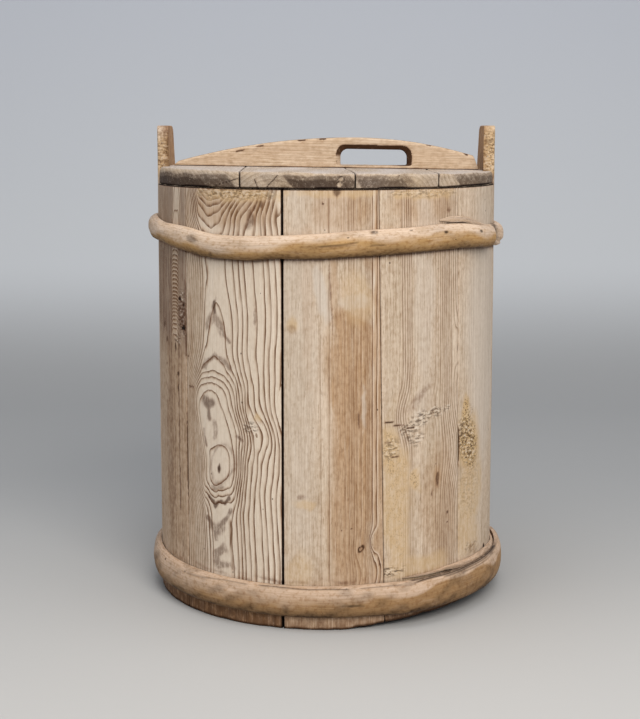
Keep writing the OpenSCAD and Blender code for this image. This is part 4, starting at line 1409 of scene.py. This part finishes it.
@dataclass
class LidWork:
    """What the lid's boards and its handle share: the sloping top, the dovetail and the ways to cut a block."""

    under: float = 510.3
    thick: float = 18.0
    fall: float = math.tan(math.radians(0.84))
    play: float = 0.15
    groove_deep: float = 6.15
    groove_neck: float = 8.15
    groove_foot: float = 11.15
    groove_past: float = 0.5

    def top(self, x: Values) -> Values:
        """Height of the lid's sloping top along X."""
        return self.under + self.thick - x * self.fall

    @staticmethod
    def solid(name: str, size: Sequence[float], place: Sequence[float]) -> Piece:
        """Adds a block at its size and place, in millimetres, selected alone."""
        return new_piece(name, bpy.ops.mesh.primitive_cube_add, size=1, location=[p * MM for p in place],
                         scale=[v * MM for v in size])

    @staticmethod
    def apply(piece: Piece, kind: str, **settings) -> None:
        """Adds a modifier with its settings and applies it."""
        alone(piece)
        modifier = piece.modifiers.new(kind.lower(), kind)
        for key, value in settings.items():
            setattr(modifier, key, value)
        bpy.ops.object.modifier_apply(modifier=modifier.name)

    def cut(self, piece: Piece, cutter: Piece, operation: str = "DIFFERENCE") -> None:
        """Cuts one block out of a piece, or joins it on, and removes the block."""
        self.apply(piece, "BOOLEAN", operation=operation, solver="EXACT", object=cutter)
        bpy.data.objects.remove(cutter)

    def dovetail(self, play: float, length: float) -> Piece:
        """The dovetail below the handle, or with play the groove for it, as a block."""
        bar = self.solid("dovetail", (length, 2, self.groove_deep + self.groove_past), (0, 0, 0))
        x, y, z = (points_of(bar) / MM).T
        wide = np.where(z > 0, self.groove_neck, self.groove_foot) + play
        move(bar, x, np.sign(y) * wide, self.top(x) + np.where(z > 0, self.groove_past, -self.groove_deep - play))
        return bar


@dataclass
class Lid(LidWork):
    """The four boards of the lid."""

    radius: float = 208.0
    round_r: float = 4.5
    gap: float = 1.2
    voxel: float = 1.3
    facets: int = 200
    notch_half: float = 41.5
    notch_r: float = 194.5
    notch_reach: float = 30.0
    notch_h: float = 40.0
    seat_half: float = 13.5
    year_mm: float = 4.6
    dark_z: float = 518.0
    dark_fades: tuple[float, float] = (519.5, 521.0)
    dark_ends: tuple[float, float] = (524.0, 526.0)
    back_dark_ends: tuple[float, float] = (516.0, 524.0)
    seed: int = 300
    boards: tuple[BoardPlan, ...] = (
        BoardPlan("lid_board_left", None, (-97.0, -103.0), (-70.0, 590.0), ((-185, 46, 1.0), (-140, 34, 0.9)),
                  ((-128, 512, -99, 521),)),
        BoardPlan("lid_board_mid_left", (-97.0, -103.0), (33.0, 13.0), (-58.0, 470.0),
                  ((-48, 22, 0.5), (-10, 34, 1.0), (14, 20, 0.9)), ((-67, 511, -54, 525), (-80, 520, -76, 511)),
                  ((15, 514.5, 3.4), (17, 521, 3.0))),
        BoardPlan("lid_board_mid_right", (33.0, 13.0), (130.0, 120.0), (92.0, 500.0),
                  ((62, 28, 0.85), (84, 16, 0.6))),
        BoardPlan("lid_board_right", (130.0, 120.0), None, (230.0, 560.0), ((172, 22, 0.8), (190, 20, 0.8))),
    )

    def board(self, plan: BoardPlan, seed: int) -> Piece:
        """Models one lid board out of a disc.

        Args:
            plan: Its seams, heart and marks.
            seed: Picks its unevenness.

        Returns:
            The finished mesh with its figure and marks.
        """
        piece = new_piece(plan.name, bpy.ops.mesh.primitive_cylinder_add, vertices=self.facets,
                          radius=self.radius * MM, depth=self.thick * MM,
                          location=(0, 0, (self.under + self.thick / 2) * MM))
        upper = self.under + self.thick - 0.01
        pick_edges(piece, lambda a, b: min(a[2], b[2]) > upper)
        bpy.ops.mesh.bevel(offset=self.round_r * MM, segments=6, affect="EDGES")
        for seam, sign in ((plan.left, 1), (plan.right, -1)):
            if seam is None:
                continue
            pick_all()
            place = ((seam[0] + seam[1]) / 2 + sign * self.gap / 2) * MM
            slant = (seam[1] - seam[0]) / (2 * self.radius)
            bpy.ops.mesh.bisect(plane_co=(place, 0, 0), plane_no=(1, -slant, 0), use_fill=True,
                                clear_inner=sign > 0, clear_outer=sign < 0)
        turn_outwards()
        for side, seam in ((-1, plan.left), (1, plan.right)):
            if seam is None:
                middle = (side * (self.notch_r + self.notch_reach / 2), 0, self.under + self.thick / 2)
                self.cut(piece, self.solid("notch", (self.notch_reach, 2 * self.notch_half, self.notch_h), middle))
        x, y, z = (points_of(piece) / MM).T
        move(piece, x, y, z - x * self.fall * (z - self.under) / self.thick)
        self.cut(piece, self.dovetail(self.play, 2 * self.radius + 24))
        self.apply(piece, "REMESH", mode="VOXEL", voxel_size=self.voxel * MM)

        x, y, z = (points_of(piece) / MM).T
        fall = self.top(x) - z
        rough = 0.45 * wander(seed, (x, 16.0), (y, 60.0)) + 0.25 * wander(seed + 1, (x, 5.0), (y, 15.0))
        upper = ease(6, 12, z - self.under) * (np.abs(y) > self.seat_half)
        z = z - upper * np.clip(0.5 + rough, 0, 1.4)
        z = np.maximum(z, self.under + 0.03)
        reach = np.hypot(x, y)
        rim = ease(self.radius - 4, self.radius - 1, reach)
        shrink = 1 - rim * np.clip(0.4 + 0.5 * wander(seed + 2, (x, 14.0), (y, 14.0), (z, 8.0)), 0, 1) / self.radius
        set_out(piece, x * shrink, y * shrink, z)
        self.weather(piece, plan, seed, (x, y, z), fall, rim)
        return piece

    def weather(self, piece: Piece, plan: BoardPlan, seed: int, at: tuple[Values, Values, Values], fall: Values,
                rim: Values) -> None:
        """Paints the figure and the marks of a lid board, with painted shade along its lower edge, underneath and in
        the gaps between boards.

        Args:
            piece: The board.
            plan: Its seams, heart and marks.
            seed: Picks its unevenness.
            at: Where its points lay before the rim was worn.
            fall: How far each point lies below the top.
            rim: How near it is to the rim, from 0 to 1.
        """
        x, y, z = at
        stain = np.zeros(len(x))
        front = rim * (y < 0)
        for centre, wide, strength in plan.dark:
            ragged = z + 1.2 * wander(seed + 3, (x, 9.0))
            low = mix(1, 0.78, ease(*self.dark_fades, ragged)) * (1 - ease(*self.dark_ends, ragged))
            aslant = np.abs(x + 0.8 * (z - self.dark_z) - centre) / wide
            stain = np.maximum(stain, 0.8 * strength * front * low * (1 - ease(0.9, 1.05, aslant)))
        for knot_x, knot_z, size in plan.knots:
            away = np.hypot(x - knot_x, z - knot_z)
            stain = np.maximum(stain * (1 - bell(away, size * 0.7)), 0.95 * front * bell(away - size, 1.0))
        for crack in plan.cracks:
            stain = np.maximum(stain, 0.96 * front * bell(off_line(x, z, *crack), 0.75))
        behind = np.clip(0.3 + 0.6 * wander(seed + 4, (x, 30.0), (z, 9.0)), 0, 1)
        behind = rim * (y > 0) * behind * (1 - ease(*self.back_dark_ends, z))
        edge = bell(fall, 1.2) * (1 - rim) * 0.05
        # Painted shade on the underside
        below = 1 - ease(0.2, 1.0, z - self.under)
        # Painted shadow along the lower edge, where the lid sits on the rim
        arris = 1 - ease(1.0, 1.8, z - self.under + 0.5 * wander(seed + 8, (x, 20.0)))
        stain = np.maximum(np.maximum(stain, behind) + edge, arris)
        # Painted shade in the gaps between the boards
        for seam in (plan.left, plan.right):
            if seam is not None:
                middle = (seam[0] + seam[1]) / 2 + (seam[1] - seam[0]) / (2 * self.radius) * y
                stain = np.maximum(stain, bell(x - middle, 0.85) * ease(0.4, 1.2, fall))
        stain = np.clip(stain + 0.35 * below, 0, 1)
        grey = np.clip(0.5 + 0.4 * wander(seed + 5, (x, 22.0), (y, 120.0)), 0, 1) * (1 - 0.8 * rim)
        warm = np.clip(rim * (0.6 + 0.3 * wander(seed + 6, (x, 25.0), (z, 10.0))), 0, 1)
        none = np.zeros(len(x))
        ring = np.hypot(x - plan.heart[0], z - plan.heart[1]) / self.year_mm
        paint(piece, ring=ring + 0.3 * wander(seed + 7, (x, 30.0), (y, 160.0)), pace=none + 1 / self.year_mm,
              shown=0.08 + 0.4 * rim, marks=np.stack([stain, none, warm, grey], axis=1), chips=none)

    def build(self) -> None:
        """Models and dresses the four boards."""
        material = LID_PINE.material()
        for number, plan in enumerate(self.boards):
            fit(self.board(plan, self.seed + 10 * number), plan.name, "lid", material)


@dataclass
class Handle(LidWork):
    """The arched handle across the lid, with its hand slot and the dovetail that holds it."""

    year_mm: float = 3.4
    long: float = 380.0
    wide: float = 26.0
    crest_x: float = 31.0
    rise: float = 37.2
    left_r: float = 815.0
    right_r: float = 530.0
    lean: float = 7.0
    slot_x: float = 18.0
    slot_l: float = 83.0
    cover: float = 14.0
    sill: float = 2.7
    corner_r: float = 9.0
    flare: float = 6.0
    roof_x: float = 60.0
    roof_bow: float = 900.0
    roof_lift: float = 0.6
    block_z: float = 550.0
    block_h: float = 40.0
    shoulder_r: float = 4.0
    side_y: float = 11.0
    slot_y: float = 12.3
    dent_deep: float = 0.6
    seed: int = 400
    voxel: float = 1.2
    slices: int = 63
    slice_reach: float = 186.0
    nicks: Marks = marked((STAIN, -107, 4.6, 7, 1.5, 0.8), (STAIN, -81.5, 2.4, 6, 1.4, 0.8),
        (STAIN, -88, 5.6, 5, 1, 0.5), (STAIN, -30, 0.8, 7, 1.5, 0.88), (STAIN, -4.5, 0.9, 6, 1.5, 0.88),
        (STAIN, 174, 1, 3, 1.6, 0.9), (STAIN, 127, 0.6, 4, 1.2, 0.8))

    def arch(self, x: Values) -> Values:
        """Height of the arched top along X."""
        r = np.where(x < self.crest_x, self.left_r, self.right_r)
        return self.under + self.thick + self.rise - r + np.sqrt(r**2 - (x - self.crest_x) ** 2)

    def slot_block(self, front: float, back: float, grow_front: float, grow_back: float) -> Piece:
        """A block that cuts part of the hand slot.

        Args:
            front: Y of its front.
            back: Y of its back.
            grow_front: How much larger than the slot it is in front.
            grow_back: The same at the back.

        Returns:
            The block, with round corners.
        """
        left, right = self.slot_x, self.slot_x + self.slot_l
        floor = self.under + self.thick + self.sill
        roof = float(self.arch(np.array([self.roof_x]))[0]) - self.cover
        block = self.solid("slot", (right - left, back - front, roof - floor),
                           ((left + right) / 2, (front + back) / 2, (roof + floor) / 2))
        pick_edges(block, lambda a, b: abs(a[1] - b[1]) > 0.01 and a[2] > (roof + floor) / 2)
        bpy.ops.mesh.bevel(offset=self.corner_r * MM, segments=8, affect="EDGES")
        bpy.ops.object.mode_set(mode="OBJECT")
        co = points_of(block) / MM
        grow = np.where(co[:, 1] < (front + back) / 2, grow_front, grow_back)
        middle = (left + right) / 2
        co[:, 0] = middle + (co[:, 0] - middle) * (right - left + 2 * grow) / (right - left)
        climb = (co[:, 2] - floor) / (roof - floor)
        bow = np.maximum(0, co[:, 0] - self.roof_x) ** 2 / self.roof_bow
        co[:, 2] = co[:, 2] + climb * grow - climb * bow + climb * self.roof_lift
        move(block, *co.T)
        return block

    def build(self) -> None:
        """Models the handle, wears its edges and fits it."""
        piece = self.solid("lid_handle", (self.long, self.wide, self.block_h), (0, 0, self.block_z))
        bpy.ops.object.mode_set(mode="EDIT")
        for x in np.linspace(-self.slice_reach, self.slice_reach, self.slices):
            pick_all()
            bpy.ops.mesh.bisect(plane_co=(x * MM, 0, 0), plane_no=(1, 0, 0))
        bpy.ops.object.mode_set(mode="OBJECT")
        x, y, z = (points_of(piece) / MM).T
        high = z > self.block_z
        x = np.where(high, x * (1 - self.lean * 2 / self.long), x)
        move(piece, x, y, np.where(high, np.maximum(self.arch(x), self.top(x) + 1.2), self.top(x) + 0.05))
        face = self.wide / 2
        self.cut(piece, self.slot_block(-face - 1, face + 1, 0, 0))
        self.cut(piece, self.slot_block(-face - 0.1, -face + self.flare, self.flare, 0))
        self.cut(piece, self.slot_block(face - self.flare, face + 0.1, 0, self.flare))
        self.cut(piece, self.dovetail(-self.play, self.long - 2 * self.lean), "UNION")
        self.apply(piece, "REMESH", mode="VOXEL", voxel_size=self.voxel * MM)

        x, y, z = (points_of(piece) / MM).T
        crown = self.arch(x) - z
        shoulder = worn(crown, self.shoulder_r) * ease(4, 13, np.abs(y))
        y = np.sign(y) * np.maximum(0, np.abs(y) - np.where(np.abs(y) > self.side_y, shoulder * 0.7, 0))
        dents = sum(self.dent_deep * nick.lay(x, crown, self.seed + 10 + n) for n, nick in enumerate(self.nicks))
        dents = dents * (1 - ease(-9, -4, y))
        z = z - (1 - ease(0, 5, crown)) * (dents + 0.12 * (1 + wander(self.seed + 1, (x, 30.0), (y, 12.0))))
        y = y * (1 - 0.012 * (1 + wander(self.seed + 2, (x, 40.0), (z, 9.0))) * (np.abs(y) > self.side_y))
        set_out(piece, x, y, z)

        wall = self.flare + 1.0
        inside_slot = ((x > self.slot_x - wall) & (x < self.slot_x + self.slot_l + wall) & (np.abs(y) < self.slot_y)
                       & (z > self.under + self.thick + 1.5) & (crown > 4))
        shade = np.maximum(ease(540, 546, z), ease(70, 100, x)) * 0.66 + 0.22
        foot = 1 - ease(0.5, 1.4, z - self.top(x))
        stain = np.clip(np.maximum(np.where(inside_slot, shade, 0.9 * foot), dents / self.dent_deep), 0, 0.95)
        warm = np.clip(0.35 + 0.4 * wander(self.seed + 3, (x, 70.0), (z, 12.0)), 0, 1)
        ring = (z + 0.02 * x) / self.year_mm + 0.5 * wander(self.seed + 4, (x, 90.0), (z, 14.0)) + np.abs(y) / 30
        none = np.zeros(len(x))
        paint(piece, ring=ring, pace=none + 1 / self.year_mm, shown=none + 0.3, chips=none,
              marks=np.stack([stain, none, warm * 0.6, none], axis=1))
        fit(piece, "lid_handle", "lid", HANDLE_PINE.material())


@dataclass(frozen=True)
class SoftBox:
    """A soft square lamp, with its place, the point that it faces and its width in metres."""

    name: str
    place: tuple[float, float, float]
    aim: tuple[float, float, float]
    wide: float
    watts: float
    tint: str = "#ffffff"

    def hang(self) -> None:
        """Adds the lamp and turns it to the point that it faces."""
        bpy.ops.object.light_add(type="AREA", location=self.place)
        lamp = bpy.context.object
        lamp.name = self.name
        lamp.data.shape = "SQUARE"
        lamp.data.size = self.wide
        lamp.data.energy = self.watts
        lamp.data.color = linear(self.tint)[:3]
        away = np.array(self.place) - np.array(self.aim)
        flat = math.hypot(away[0], away[1])
        lamp.rotation_euler = (math.atan2(flat, away[2]), 0, math.atan2(away[0], -away[1]))


@dataclass
class Studio:
    """Pale paper floor that sweeps up behind, soft light and the camera where the photograph was taken.

    The paper's sizes are metres.
    """

    camera_at: tuple[float, float, float] = (1.42, -1779.27, 576.95)
    pitch: float = 9.332
    yaw: float = 0.288
    focal_px: float = 1408.64
    long_side_px: float = 719.0
    sensor: float = 36.0
    paper_w: float = 7.0
    bend_y: float = 1.1
    bend_r: float = 1.4
    bend_steps: int = 32
    wall_h: float = 3.0
    air: str = "#f6f8ff"
    air_strength: float = 0.44
    lamps: tuple[SoftBox, ...] = (
        SoftBox("key_softbox", (0.8, -2.5, 2.2), (0, 0, 0.3), 1.6, 64, "#fffaf4"),
        SoftBox("top_softbox", (-0.2, -0.5, 3.0), (0, 0, 0.4), 2.4, 36))

    def floor(self) -> None:
        """Lays the paper: a plane whose back edge is spun up in a sweep and drawn on into a wall."""
        paper = new_piece("paper_sweep", bpy.ops.mesh.primitive_plane_add, size=self.paper_w,
                          location=(0, self.bend_y - self.paper_w / 2, 0))
        pick_edges(paper, lambda a, b: min(a[1], b[1]) > self.bend_y / MM - 1)
        bpy.ops.mesh.spin(steps=self.bend_steps, angle=-math.pi / 2, center=(0, self.bend_y, self.bend_r),
                          axis=(1, 0, 0))
        bpy.ops.mesh.extrude_region_move(TRANSFORM_OT_translate={"value": (0, 0, self.wall_h)})
        pick_all()
        bpy.ops.mesh.remove_doubles(threshold=WELD_M)
        turn_outwards()
        bpy.ops.object.shade_smooth()
        paper.data.materials.append(PAPER.material())

    def build(self) -> None:
        """Sets up paper, light and camera."""
        scene = bpy.context.scene
        scene.view_settings.view_transform = "Standard"
        self.floor()
        world = bpy.data.worlds.new("soft_room")
        scene.world = world
        add = nodes_of(world)
        add("OutputWorld", add("Background", self.air, self.air_strength))
        for lamp in self.lamps:
            lamp.hang()
        camera = bpy.data.objects.new("camera", bpy.data.cameras.new("camera"))
        scene.collection.objects.link(camera)
        camera.location = [v * MM for v in self.camera_at]
        camera.rotation_euler = (math.radians(90 - self.pitch), 0, math.radians(self.yaw))
        camera.data.sensor_width = self.sensor
        camera.data.lens = self.focal_px / self.long_side_px * self.sensor
        scene.camera = camera


def main() -> None:
    """Builds the scene."""
    logging.basicConfig(level=logging.INFO, format="%(name)s %(message)s")
    Studio().build()
    Tub().build()
    for hoop, branch in ((LOWER_HOOP, LOWER_BRANCH), (UPPER_HOOP, UPPER_BRANCH)):
        hoop.build(branch.material())
    Lid().build()
    Handle().build()


if __name__ == "__main__":
    main()
